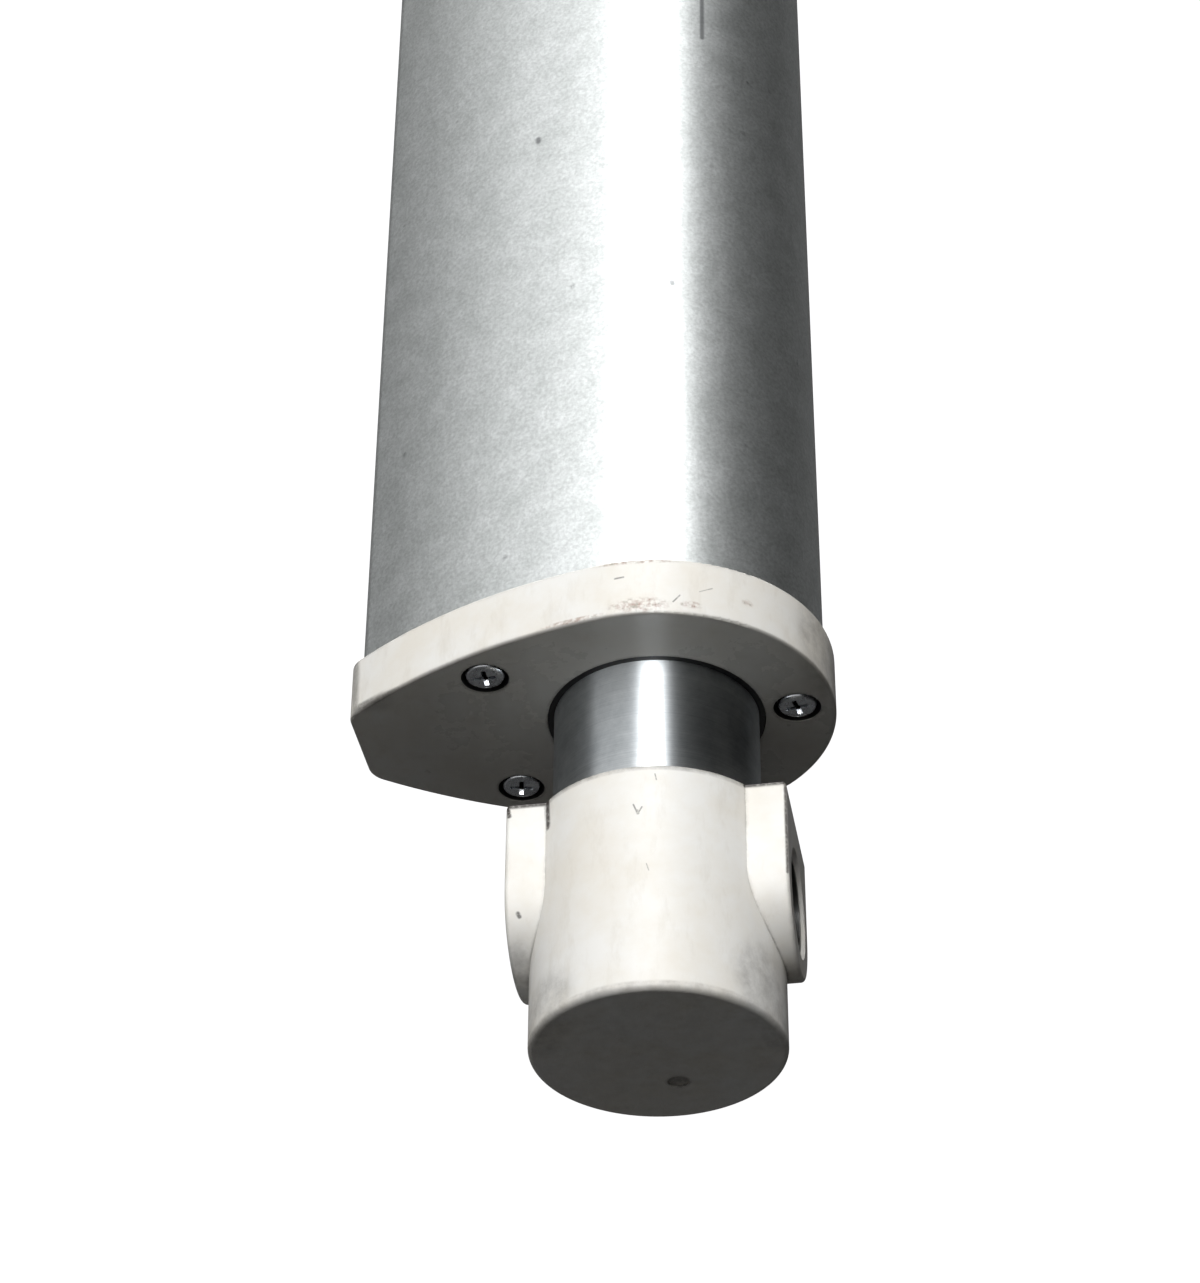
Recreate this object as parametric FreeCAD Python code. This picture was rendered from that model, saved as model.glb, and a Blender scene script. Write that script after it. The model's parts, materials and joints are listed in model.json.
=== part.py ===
import FreeCAD, Part
import math
import os

# Electric linear actuator with its motor beside the tube.
# Frame: the origin is the centre of the rear pivot, X runs along both pivot bores, the rod
# points along -Y and +Z is up. A station is a distance in front of the rear pivot, so a
# point at station s has y = -s. All sizes are millimetres.

# Rod, head and pivots
ROD_R = 15.0
ROD_BORE_R = 12.0
ROD_SHOWN = 20.25
STROKE = 200.0
PIVOT_R = 6.05
PIVOT_BUSH_R = 7.0
HEAD_R = 17.9
HEAD_LENGTH = 35.75
HEAD_SOCKET_DEPTH = 29.5
HEAD_END_ROUND = 0.9
HEAD_PIVOT_DEPTH = 13.25
PAD_HALF_WIDTH = 11.0
PAD_REACH = 19.9
PAD_ROUND = 0.6
HEAD_BUSH_REACH = 19.4
BORE_CHAMFER = 0.9
GATE_MARK_R = 1.5
GATE_MARK_DEPTH = 0.4
GATE_MARK_X = 1.6
GATE_MARK_Z = -7.6

# Egg section of the tube: a round side about the rod axis, two side arcs and a narrow flat
EGG_R = 24.8
EGG_SIDE_R = 86.8
EGG_TANGENT_DEG = 100.0
EGG_FLAT = 43.0
EGG_CORNER = 2.4
EGG_INNER_CORNER = 0.8
TUBE_WALL = 3.0
PORT_BOSS_R = 3.3
PORT_HOLE_R = 1.5
PORTS = ((20.7, 0.0), (-22.8, 14.25), (-22.8, -14.25))
BOARD_RIB = 1.2
BOARD_RIB_Z = 5.7
BOARD_GAP = 0.1
RIB_GAP = 0.35

# Front cap
CAP_LIP = 1.5
CAP_THICK = 9.6
CAP_FRONT_ROUND = 0.5
CAP_REAR_ROUND = 0.4
SPIGOT_R = 21.4
SPIGOT_LENGTH = 14.4
CAP_HOLE_R = 16.0
CAP_LIP_DEPTH = 1.4
SEAL_R = 16.9
SEAL_LENGTH = 4.4
GUIDE_R = 16.8
RUNNING_GAP = 0.06
SEAL_LIP = 0.9
SEAL_LAND = 1.4
SEAL_RELIEF = 0.7
SEAL_NOSE_GAP = 0.1
SEAL_NOSE_BACK = 0.2
SEAL_SLOPE = 0.5
SCREW_RECESS_R = 3.5
SCREW_RECESS_DEPTH = 1.85
CAP_SCREW_HEAD_R = 2.85
CAP_SCREW_HEAD = 1.8
CAP_SCREW_BITE = 11.0

# Cross-recess screw heads, as shares of the head's height and radius
HEAD_ROUND = 0.45
RECESS_DEPTH = 0.6
RECESS_ARM = 0.56
RECESS_SLOT = 0.15

# Stations from the rear pivot forwards
COVER_BOSS_REAR = 15.5
EYE_FLANGE_REAR = 22.0
BEARING_REAR = 28.0
COVER_REAR = 30.0
COVER_FRONT = 38.0
HOUSING_REAR = 38.8
WALL_REAR = 72.0
TUBE_REAR = 80.0
COLLAR_FRONT = 92.0
FACE = 336.0
TUBE_FRONT = FACE - CAP_THICK
HEAD_REAR = FACE + ROD_SHOWN
FRONT_PIVOT = HEAD_REAR + HEAD_PIVOT_DEPTH
HEAD_FRONT = HEAD_REAR + HEAD_LENGTH

# Gearbox outline, a rounded rectangle in X and Z
BOX_LEFT = -96.0
BOX_RIGHT = 30.0
BOX_HALF = 30.0
BOX_LEFT_ROUND = 22.0
BOX_RIGHT_ROUND = 13.0
BOX_WALL = 3.0
BOX_EDGE_ROUND = 3.0
COLLAR_WALL = 3.5
GASKET_INSET = 0.3
COVER_SCREWS = (
    (21.5, 21.5), (21.5, -21.5), (-22.0, -23.4), (-55.0, 23.4), (-87.0, 16.0), (-87.0, -16.0),
)
COVER_SCREW_R = 1.9
COVER_SCREW_HEAD_R = 3.6
COVER_SCREW_BOSS_R = 4.2
COVER_SCREW_SUNK = 3.4
COVER_SCREW_HEAD = 2.6
REAR_SCREW_RECESS_R = 3.3
REAR_SCREW_RECESS = 2.4
REAR_SCREW_HEAD = 2.0
COVER_BOSS_R = 23.0
COVER_BOSS_END_R = 20.0
COVER_RIB = 2.4
COVER_RIB_ROOT = 15.0
COVER_RIB_TOP = 20.0
COVER_RIB_DROP = 3.0
# direction of each gusset on the cover, in degrees, and how far out it reaches
COVER_RIBS = (
    (0.0, 26.5), (65.0, 28.0), (115.0, 28.0), (180.0, 56.0), (245.0, 28.0), (295.0, 28.0),
)
COLLAR_GUSSETS_X = (-26.0, -4.0, 14.0)
COLLAR_GUSSET = 2.4
COLLAR_EDGE_ROUND = 1.2
BOSS_EDGE_ROUND = 1.5
MOTOR_PILOT_R = 8.0
SCREW_BITE = 12.0

# Gear train: involute stub teeth, module in millimetres
PRESSURE_ANGLE = math.radians(20.0)
ADDENDUM = 0.8
DEDENDUM = 1.1
TOOTH_THINNING = 0.12
FAST_MODULE = 1.0
SLOW_MODULE = 1.25
PINION_TEETH = 12
WHEEL_TEETH = 33
DRIVE_PINION_TEETH = 13
SPINDLE_TEETH = 40
FAST_CENTRES = FAST_MODULE * (PINION_TEETH + WHEEL_TEETH) / 2
SLOW_CENTRES = SLOW_MODULE * (DRIVE_PINION_TEETH + SPINDLE_TEETH) / 2
MOTOR_X = -69.0
IDLER_2_RISE = 8.0
SLOW_GEARS = (41.0, 52.0)
MIDDLE_GEARS = (54.0, 62.0)
FAST_GEARS = (64.0, 70.0)
GEAR_STEP = 0.5
PIN_R = 3.0
PIN_SEAT = 4.0

# Spindle, nut and bearing
SPINDLE_R = 7.0
SPINDLE_JOURNAL_R = 6.0
SPINDLE_COLLAR_R = 8.5
SPINDLE_REAR = 25.6
SPINDLE_FRONT = 328.0
SPINDLE_TIP_CHAMFER = 1.0
SNAP_RING = 1.3
SNAP_RING_R = 8.2
SNAP_GROOVE = 0.5
SNAP_GAP = 1.5
FRONT_BUSH_R = 10.0
FRONT_BUSH_FLANGE_R = 12.0
FRONT_BUSH_FLANGE = 1.5
GUIDE_RING_GAP = 0.3
GUIDE_RING_REAR = 320.5
GUIDE_RING_FRONT = 326.5
GEAR_HUB_R = 11.0
GEAR_HUB_FRONT = 58.0
DRIVE_PIN_R = 1.75
DRIVE_PIN_STATION = 55.0
DRIVE_PIN_SHORT = 0.5
GEAR_WEB_R = 21.0
GEAR_WEB_SUNK = 3.0
NUT_REAR = 84.0
ROD_REAR = 96.0
NUT_FRONT = 118.0
NUT_FLANGE_R = 14.0
NUT_GUIDE_R = 21.3
CAM_REACH = -26.6
CAM_HALF = 4.0
NUT_PIN_R = 2.0
NUT_PIN_STATION = 107.0
NUT_PIN_SUNK = 0.3
NUT_PIN_INNER = 8.5
CAM_CHAMFER = 2.0
BEARING_R = 16.0
BEARING_WIDTH = 10.0
BEARING_INNER_LAND_R = 9.0
BEARING_OUTER_LAND_R = 13.0
BALL_COUNT = 8
BALL_R = 2.95
BALL_GROOVE_R = 3.1
BALL_PITCH_R = 11.0
CAGE_HALF_WALL = 0.6
CAGE_HALF_WIDTH = 3.8
CAGE_POCKET_GAP = 0.1
EYE_FLANGE_R = 15.0
EYE_FLANGE_FLAT = 13.0
EYE_NECK_R = 11.0
EYE_R = 12.5
EYE_HALF_WIDTH = 12.0
EYE_ROUND = 1.2
EYE_NECK_REAR = 6.0
EYE_RECESS_R = 9.0
EYE_RECESS_REAR = 24.6

# Motor and its cover
CAN_R = 18.0
CAN_WALL = 1.6
CAN_FRONT = 130.0
SHAFT_R = 2.5
SHAFT_REAR = 63.2
SHAFT_FRONT = 135.0
ARMATURE_R = 13.0
ARMATURE = (92.0, 118.0)
ARMATURE_SLOTS = 5
SLOT_INNER = 5.5
SLOT_HALF = 2.6
WINDING_R = 11.4
WINDING_BORE_R = 4.0
WINDING_REAR = 4.0
WINDING_FRONT = 3.2
WINDING_ROUND = 1.5
MAGNET_BORE_R = 13.7
MAGNETS = (90.0, 120.0)
MAGNET_DEG = 140.0
COMMUTATOR_R = 5.0
COMMUTATOR = (123.6, 129.4)
BRUSH_HALF = 2.0
BRUSH_REACH = 12.0
BRUSH_GAP = 0.1
BRUSH_INSET = 0.8
END_BELL_REAR = 121.8
END_BELL_FRONT = 136.0
END_BELL_LID = 2.0
END_BELL_NOSE_R = 7.0
END_BELL_NOSE = 0.8
END_BELL_HOLLOW_R = 12.0
COMMUTATOR_GAP = 0.6
BUSH_R = 4.5
BUSH_LENGTH = 5.0
COVER_BORE_R = 18.6
COVER_R = 21.5
COVER_TIP_R = 20.9
COVER_TIP = 141.0
COVER_TIP_ROUND = 5.0
COVER_TIP_WALL = 3.0
COVER_EAR_R = 4.2
COVER_EAR_PCD_R = 25.0
COVER_EAR_DEG = (60.0, 120.0, 240.0, 300.0)
COVER_EAR_FRONT = 86.0
COVER_EAR_SCREW_R = 1.6
COVER_EAR_ROUND = 0.8
COVER_EAR_HEAD_R = 3.0
COVER_EAR_HEAD = 2.0
BLIND_WALL = 1.0
MOTOR_SCREWS_Z = (-12.5, 12.5)
MOTOR_SCREW_HEAD_R = 2.8
MOTOR_SCREW_BITE = 2.0

# Cable socket and limit switches
SOCKET_R = 8.5
SOCKET_FLANGE_R = 11.0
SOCKET_BORE_R = 6.0
SOCKET_REAR = 20.5
SOCKET_DEPTH = 9.0
CONTACT_R = 0.9
CONTACT_PCD_R = 2.8
CONTACT_DEG = (45.0, 135.0, 225.0, 315.0)
CONTACT_BORE_R = 0.5
CONTACT_TAIL = 2.0
SOCKET_FLANGE = 2.0
SOCKET_EDGE = 0.6
BOARD_X = (-37.6, -36.0)
BOARD_HALF = 6.4
BOARD = (82.0, 302.0)
RETRACT_SWITCH = 90.0
SWITCH_STATIONS = {"retract": RETRACT_SWITCH, "extend": RETRACT_SWITCH + STROKE}
SWITCH_TOP_X = -28.6
SWITCH_HALF_LENGTH = 6.4
SWITCH_HALF_WIDTH = 3.0
PLUNGER_R = 1.2
PLUNGER_TIP_X = -27.1
PLUNGER_FOOT_X = -31.0
PLUNGER_HOLE_X = -33.4
PLUNGER_GAP = 0.1
PLUNGER_ROUND = 0.5

V = FreeCAD.Vector
FORWARD = V(0, -1, 0)
ACROSS = V(1, 0, 0)
TOUCH = 1e-4


def at(x, station, z):
    """Point at a station, with its offsets to the right and up."""
    return V(x, -station, z)


def on(point, station):
    """Point of a section, given as (x, z), at a station."""
    return at(point[0], station, point[1])


def rod(radius, rear, front, x=0.0, z=0.0):
    """Cylinder along the actuator between two stations."""
    return Part.makeCylinder(radius, front - rear, at(x, rear, z), FORWARD)


def ring(outer, inner, rear, front, x=0.0, z=0.0):
    return rod(outer, rear, front, x, z).cut(rod(inner, rear, front, x, z))


def cone(rear_radius, front_radius, rear, front, x=0.0, z=0.0):
    return Part.makeCone(rear_radius, front_radius, front - rear, at(x, rear, z), FORWARD)


def crossbar(radius, station, left, right, z=0.0):
    """Cylinder along X."""
    return Part.makeCylinder(radius, right - left, at(left, station, z), ACROSS)


def block(x_range, stations, z_range):
    """Box given by its lowest and highest x, station and z."""
    size = [high - low for low, high in (x_range, stations, z_range)]
    corner = at(x_range[0], stations[1], z_range[0])
    return Part.makeBox(size[0], size[1], size[2], corner)


def fuse_all(shapes):
    return shapes[0].multiFuse(shapes[1:]).removeSplitter()


def group(shapes):
    """Separate solids that share one node."""
    return Part.makeCompound(shapes)


def prism(wire, depth):
    return Part.Face(wire).extrude(FORWARD * depth)


def revolve(points):
    """Solid of revolution about the rod axis from (radius, station) corners."""
    outline = Part.makePolygon([at(r, s, 0) for r, s in points + points[:1]])
    return Part.Face(outline).revolve(V(0, 0, 0), FORWARD, 360)


def edges_at(shape, station):
    """Edges that lie wholly at one station."""
    near = [e for e in shape.Edges if abs(e.BoundBox.YMin + station) < TOUCH]
    return [e for e in near if abs(e.BoundBox.YMax + station) < TOUCH]


def edges_at_x(shape, x):
    """Edges that lie wholly in the plane at one x."""
    near = [e for e in shape.Edges if abs(e.BoundBox.XMin - x) < TOUCH]
    return [e for e in near if abs(e.BoundBox.XMax - x) < TOUCH]


def polar(centre, radius, angle):
    return centre[0] + radius * math.cos(angle), centre[1] + radius * math.sin(angle)


def arc(points, station):
    return Part.Arc(*[at(x, station, z) for x, z in points]).toShape()


def egg_wire(offset, station):
    """Egg outline of the tube, moved out by an offset."""
    tangent = math.radians(EGG_TANGENT_DEG)
    round_r = EGG_R + offset
    side_r = EGG_SIDE_R + offset
    corner_r = max(EGG_CORNER + offset, EGG_INNER_CORNER)
    side_centre = polar((0, 0), EGG_R - EGG_SIDE_R, tangent)
    corner_x = corner_r - EGG_FLAT - offset
    reach = side_r - corner_r
    rise = math.sqrt(reach ** 2 - (corner_x - side_centre[0]) ** 2)
    corner = (corner_x, side_centre[1] + rise)
    meet = math.atan2(rise, corner_x - side_centre[0])
    halfway = (tangent + meet) / 2
    upper = [polar((0, 0), round_r, tangent)]
    upper += [polar(side_centre, side_r, turn) for turn in (halfway, meet)]
    bend = [upper[2], polar(corner, corner_r, (meet + math.pi) / 2), polar(corner, corner_r, math.pi)]
    lower = [(x, -z) for x, z in upper]
    bend_below = [(x, -z) for x, z in bend]
    flat = Part.makeLine(on(bend[2], station), on(bend_below[2], station))
    edges = [
        arc([lower[0], (round_r, 0), upper[0]], station),
        arc(upper, station),
        arc(bend, station),
        flat,
        arc(bend_below[::-1], station),
        arc(lower[::-1], station),
    ]
    return Part.Wire(edges)


def egg_prism(offset, rear, front):
    return prism(egg_wire(offset, rear), front - rear)


def box_wire(inset, station):
    """Gearbox outline, a rounded rectangle, moved in by an inset."""
    left = BOX_LEFT + inset
    right = BOX_RIGHT - inset
    top = BOX_HALF - inset
    middle = (left + right) / 2
    corners = [
        (right, top, BOX_RIGHT_ROUND - inset, 0.0),
        (left, top, BOX_LEFT_ROUND - inset, 0.5 * math.pi),
        (left, -top, BOX_LEFT_ROUND - inset, math.pi),
        (right, -top, BOX_RIGHT_ROUND - inset, 1.5 * math.pi),
    ]
    arcs = []
    for x, z, radius, start in corners:
        centre = (x - math.copysign(radius, x - middle), z - math.copysign(radius, z))
        arcs.append([polar(centre, radius, start + turn) for turn in (0.0, 0.25 * math.pi, 0.5 * math.pi)])
    edges = []
    for index, points in enumerate(arcs):
        following = arcs[(index + 1) % len(arcs)]
        edges.append(arc(points, station))
        edges.append(Part.makeLine(on(points[2], station), on(following[0], station)))
    return Part.Wire(edges)


def box_prism(inset, rear, front):
    return prism(box_wire(inset, rear), front - rear)


def screw(radius, head_radius, head_height, head_end, tip, x, z):
    """Pan-head screw along the actuator, with a cross recess in its head."""
    way = math.copysign(1.0, head_end - tip)
    seat = head_end - way * head_height
    shank = rod(radius, min(seat, tip), max(seat, tip), x, z)
    head = rod(head_radius, min(seat, head_end), max(seat, head_end), x, z)
    head = head.makeFillet(HEAD_ROUND * head_height, edges_at(head, head_end))
    deep = head_end - way * RECESS_DEPTH * head_height
    depths = (min(deep, head_end), max(deep, head_end))
    arm = RECESS_ARM * head_radius
    slot = RECESS_SLOT * head_radius
    recess = block((x - arm, x + arm), depths, (z - slot, z + slot))
    recess = recess.fuse(block((x - slot, x + slot), depths, (z - arm, z + arm)))
    return shank.fuse(head).cut(recess).removeSplitter()


def gear_wire(module, teeth, phase, centre, station):
    """Involute gear outline with a tooth centred on the phase angle."""
    pitch_r = module * teeth / 2
    base_r = pitch_r * math.cos(PRESSURE_ANGLE)
    tip_r = pitch_r + ADDENDUM * module
    root_r = pitch_r - DEDENDUM * module
    half_tooth = (math.pi * module / 2 - TOOTH_THINNING) / (2 * pitch_r)
    at_base = half_tooth + math.tan(PRESSURE_ANGLE) - PRESSURE_ANGLE
    start_r = max(base_r, root_r)
    flank = [(root_r, at_base)] if root_r < base_r else []
    for step in range(4):
        radius = start_r + (tip_r - start_r) * step / 3
        roll = math.sqrt((radius / base_r) ** 2 - 1)
        flank.append((radius, at_base - roll + math.atan(roll)))
    points = []
    for tooth in range(teeth):
        middle = phase + 2 * math.pi * tooth / teeth
        points += [polar(centre, r, middle - half) for r, half in flank]
        points += [polar(centre, r, middle + half) for r, half in reversed(flank)]
    return Part.makePolygon([on(p, station) for p in points + points[:1]])


def gear(module, teeth, phase, centre, stations):
    return prism(gear_wire(module, teeth, phase, centre, stations[0]), stations[1] - stations[0])


def direction(start, end):
    return math.atan2(end[1] - start[1], end[0] - start[0])


def gap_phase(towards, teeth):
    """Phase that puts a tooth gap on the line towards the meshing gear."""
    return towards + math.pi / teeth


def idler_centres():
    """Centres of the two idler pins, from the centre distances of the gear train."""
    second = (-math.sqrt(SLOW_CENTRES ** 2 - IDLER_2_RISE ** 2), IDLER_2_RISE)
    span = math.dist(second, (MOTOR_X, 0.0))
    middle = ((second[0] + MOTOR_X) / 2, second[1] / 2)
    sag = math.sqrt(FAST_CENTRES ** 2 - (span / 2) ** 2)
    first = polar(middle, sag, direction(second, (MOTOR_X, 0.0)) + 0.5 * math.pi)
    return first, second


SPINDLE_AXIS = (0.0, 0.0)
MOTOR_AXIS = (MOTOR_X, 0.0)
IDLER_1, IDLER_2 = idler_centres()


def outer_tube():
    """Extrusion with three screw ports and two slots for the switch board."""
    body = egg_prism(0.0, TUBE_REAR, TUBE_FRONT)
    hollow = egg_prism(-TUBE_WALL, TUBE_REAR, TUBE_FRONT)
    kept = [rod(PORT_BOSS_R, TUBE_REAR, TUBE_FRONT, x, z) for x, z in PORTS]
    for x in (BOARD_X[0] - BOARD_GAP - BOARD_RIB, BOARD_X[1] + BOARD_GAP):
        for side in (-1, 1):
            z_range = sorted((side * BOARD_RIB_Z, side * EGG_R))
            kept.append(block((x, x + BOARD_RIB), (TUBE_REAR, TUBE_FRONT), z_range))
    hollow = hollow.cut(kept)
    holes = [rod(PORT_HOLE_R, TUBE_REAR, TUBE_FRONT, x, z) for x, z in PORTS]
    return body.cut(hollow).cut(holes).removeSplitter()


def front_cap():
    """Cap with rounded edges, and a spigot that carries the seal and the guide bush."""
    plate = egg_prism(CAP_LIP, TUBE_FRONT, FACE)
    plate = plate.makeFillet(CAP_FRONT_ROUND, edges_at(plate, FACE))
    plate = plate.makeFillet(CAP_REAR_ROUND, edges_at(plate, TUBE_FRONT))
    spigot_rear = TUBE_FRONT - SPIGOT_LENGTH
    spigot = rod(SPIGOT_R, spigot_rear, TUBE_FRONT)
    rib_x, rib_z = PORTS[0]
    spigot = spigot.cut(rod(PORT_BOSS_R + RIB_GAP, spigot_rear, TUBE_FRONT, rib_x, rib_z))
    seal_front = FACE - CAP_LIP_DEPTH
    cuts = [
        rod(CAP_HOLE_R, spigot_rear, FACE),
        rod(SEAL_R, seal_front - SEAL_LENGTH, seal_front),
        rod(GUIDE_R, spigot_rear, seal_front - SEAL_LENGTH),
    ]
    for x, z in PORTS:
        cuts.append(rod(SCREW_RECESS_R, FACE - SCREW_RECESS_DEPTH, FACE, x, z))
        cuts.append(rod(PORT_HOLE_R, TUBE_FRONT, FACE, x, z))
    return plate.fuse(spigot).cut(cuts).removeSplitter()


def front_cap_screws():
    head_end = FACE - SCREW_RECESS_DEPTH + CAP_SCREW_HEAD
    tip = TUBE_FRONT - CAP_SCREW_BITE
    return group([
        screw(PORT_HOLE_R, CAP_SCREW_HEAD_R, CAP_SCREW_HEAD, head_end, tip, x, z) for x, z in PORTS
    ])


def wiper_seal():
    """Rubber ring behind the cap's lip, with a wiping nose that reaches out through the hole."""
    front = FACE - CAP_LIP_DEPTH
    rear = front - SEAL_LENGTH
    bore = ROD_R + RUNNING_GAP
    nose_r = CAP_HOLE_R - SEAL_NOSE_GAP
    nose_front = FACE - SEAL_NOSE_BACK
    land_rear = front - SEAL_LIP - SEAL_LAND
    return revolve([
        (SEAL_R, rear), (SEAL_R, front), (nose_r, front), (nose_r, nose_front), (bore, nose_front - SEAL_SLOPE),
        (bore, land_rear), (bore + SEAL_RELIEF, land_rear - SEAL_LIP), (bore + SEAL_RELIEF, rear),
    ])


def front_guide_bush():
    rear = TUBE_FRONT - SPIGOT_LENGTH
    front = FACE - CAP_LIP_DEPTH - SEAL_LENGTH
    return ring(GUIDE_R, ROD_R + RUNNING_GAP, rear, front)


def piston_rod():
    """Hollow rod, drilled for the head's cross bush and for the nut's pins."""
    front = HEAD_REAR + HEAD_SOCKET_DEPTH
    body = ring(ROD_R, ROD_BORE_R, ROD_REAR, front)
    holes = [crossbar(PIVOT_BUSH_R, FRONT_PIVOT, -HEAD_R, HEAD_R), nut_pin_hole()]
    return body.cut(holes)


def nut_pin_hole():
    return Part.makeCylinder(NUT_PIN_R, 2 * ROD_R, at(0, NUT_PIN_STATION, -ROD_R), V(0, 0, 1))


def rod_head():
    """Moulded head: a round body, two U-shaped side pads and a blind socket for the rod."""
    body = rod(HEAD_R, HEAD_REAR, HEAD_FRONT)
    body = body.makeFillet(HEAD_END_ROUND, edges_at(body, HEAD_FRONT))
    corners = [at(-PAD_REACH, HEAD_REAR, PAD_HALF_WIDTH), at(-PAD_REACH, FRONT_PIVOT, PAD_HALF_WIDTH)]
    tip = at(-PAD_REACH, FRONT_PIVOT + PAD_HALF_WIDTH, 0)
    below = [at(-PAD_REACH, FRONT_PIVOT, -PAD_HALF_WIDTH), at(-PAD_REACH, HEAD_REAR, -PAD_HALF_WIDTH)]
    outline = Part.Wire([
        Part.makeLine(corners[0], corners[1]),
        Part.Arc(corners[1], tip, below[0]).toShape(),
        Part.makeLine(below[0], below[1]),
        Part.makeLine(below[1], corners[0]),
    ])
    pads = Part.Face(outline).extrude(ACROSS * (2 * PAD_REACH))
    pads = pads.makeFillet(PAD_ROUND, edges_at_x(pads, -PAD_REACH) + edges_at_x(pads, PAD_REACH))
    cuts = [
        rod(ROD_R, HEAD_REAR, HEAD_REAR + HEAD_SOCKET_DEPTH),
        crossbar(PIVOT_BUSH_R, FRONT_PIVOT, -PAD_REACH, PAD_REACH),
        rod(GATE_MARK_R, HEAD_FRONT - GATE_MARK_DEPTH, HEAD_FRONT, GATE_MARK_X, GATE_MARK_Z),
    ]
    for side in (-1, 1):
        mouth = at(side * PAD_REACH, FRONT_PIVOT, 0)
        inward = ACROSS * -side
        cuts.append(Part.makeCone(PIVOT_BUSH_R + BORE_CHAMFER, PIVOT_BUSH_R, BORE_CHAMFER, mouth, inward))
    return body.fuse(pads).cut(cuts).removeSplitter()


def cross_bush(station, reach):
    """Sleeve across the actuator, for a pivot pin."""
    sleeve = crossbar(PIVOT_BUSH_R, station, -reach, reach)
    return sleeve.cut(crossbar(PIVOT_R, station, -reach, reach))


def rod_head_bush():
    return cross_bush(FRONT_PIVOT, HEAD_BUSH_REACH)


def spindle_nut():
    """Plastic drive nut, pressed into the rod's rear end against its flange."""
    body = rod(NUT_FLANGE_R, NUT_REAR, ROD_REAR).fuse(rod(ROD_BORE_R, ROD_REAR, NUT_FRONT))
    return body.cut([rod(SPINDLE_R + RUNNING_GAP, NUT_REAR, NUT_FRONT), nut_pin_hole()]).removeSplitter()


def nut_guide():
    """Slider round the nut: it bears on the tube, and its arm passes the limit switches."""
    body = rod(NUT_GUIDE_R, NUT_REAR, ROD_REAR)
    arm = block((CAM_REACH, 0.0), (NUT_REAR, ROD_REAR), (-CAM_HALF, CAM_HALF))
    ends = [e for e in edges_at_x(arm, CAM_REACH) if e.BoundBox.YLength < TOUCH]
    arm = arm.makeChamfer(CAM_CHAMFER, ends)
    rib_x, rib_z = PORTS[0]
    cuts = [rod(NUT_FLANGE_R, NUT_REAR, ROD_REAR)]
    cuts.append(rod(PORT_BOSS_R + RIB_GAP, NUT_REAR, ROD_REAR, rib_x, rib_z))
    return body.fuse(arm).cut(cuts).removeSplitter()


def nut_pins():
    """Two pins that lock the nut in the rod, just below the rod's surface."""
    length = ROD_R - NUT_PIN_SUNK - NUT_PIN_INNER
    pins = []
    for side in (-1, 1):
        start = at(0, NUT_PIN_STATION, side * NUT_PIN_INNER)
        pins.append(Part.makeCylinder(NUT_PIN_R, length, start, V(0, 0, side)))
    return group(pins)


def spindle():
    """Plain core of the trapezoidal screw, with a bearing journal and a thrust collar."""
    bearing_front = BEARING_REAR + BEARING_WIDTH
    journal = rod(SPINDLE_JOURNAL_R, SPINDLE_REAR, bearing_front)
    collar = rod(SPINDLE_COLLAR_R, bearing_front, SLOW_GEARS[0])
    core = rod(SPINDLE_R, SLOW_GEARS[0], SPINDLE_FRONT)
    core = core.makeChamfer(SPINDLE_TIP_CHAMFER, edges_at(core, SPINDLE_FRONT))
    return journal.multiFuse([collar, core]).cut([retaining_groove(), drive_pin_hole()]).removeSplitter()


def retaining_groove():
    """Ring that fills the snap ring's groove."""
    return ring(SNAP_RING_R, SPINDLE_JOURNAL_R - SNAP_GROOVE, BEARING_REAR - SNAP_RING, BEARING_REAR)


def spindle_retaining_ring():
    """Snap ring behind the bearing, with the gap that lets it open."""
    stations = (BEARING_REAR - SNAP_RING, BEARING_REAR)
    return retaining_groove().cut(block((-SNAP_GAP, SNAP_GAP), stations, (0.0, SNAP_RING_R)))


def drive_pin(reach):
    """Cross pin through the gear's hub and the spindle."""
    return Part.makeCylinder(DRIVE_PIN_R, 2 * reach, at(0, DRIVE_PIN_STATION, -reach), V(0, 0, 1))


def drive_pin_hole():
    return drive_pin(GEAR_HUB_R)


def gear_drive_pin():
    return drive_pin(GEAR_HUB_R - DRIVE_PIN_SHORT)


def spindle_gear():
    """Last wheel of the train, with a thinned web and a pinned hub."""
    phase = gap_phase(direction(SPINDLE_AXIS, IDLER_2), SPINDLE_TEETH)
    body = gear(SLOW_MODULE, SPINDLE_TEETH, phase, SPINDLE_AXIS, SLOW_GEARS)
    rear, front = SLOW_GEARS
    faces = ((rear, rear + GEAR_WEB_SUNK), (front - GEAR_WEB_SUNK, front))
    body = body.cut([ring(GEAR_WEB_R, GEAR_HUB_R, start, end) for start, end in faces])
    body = body.fuse(rod(GEAR_HUB_R, front, GEAR_HUB_FRONT))
    return body.cut([rod(SPINDLE_R, rear, GEAR_HUB_FRONT), drive_pin_hole()]).removeSplitter()


def spindle_guide_ring():
    """Ring that centres the spindle's free end inside the rod."""
    return ring(ROD_BORE_R - GUIDE_RING_GAP, SPINDLE_R, GUIDE_RING_REAR, GUIDE_RING_FRONT)


def spindle_front_bush():
    """Flanged plain bush in the gearbox's front wall."""
    rear = WALL_REAR - FRONT_BUSH_FLANGE
    bush = rod(FRONT_BUSH_R, rear, TUBE_REAR).fuse(rod(FRONT_BUSH_FLANGE_R, rear, WALL_REAR))
    return bush.cut(rod(SPINDLE_R + RUNNING_GAP, rear, TUBE_REAR)).removeSplitter()


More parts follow.
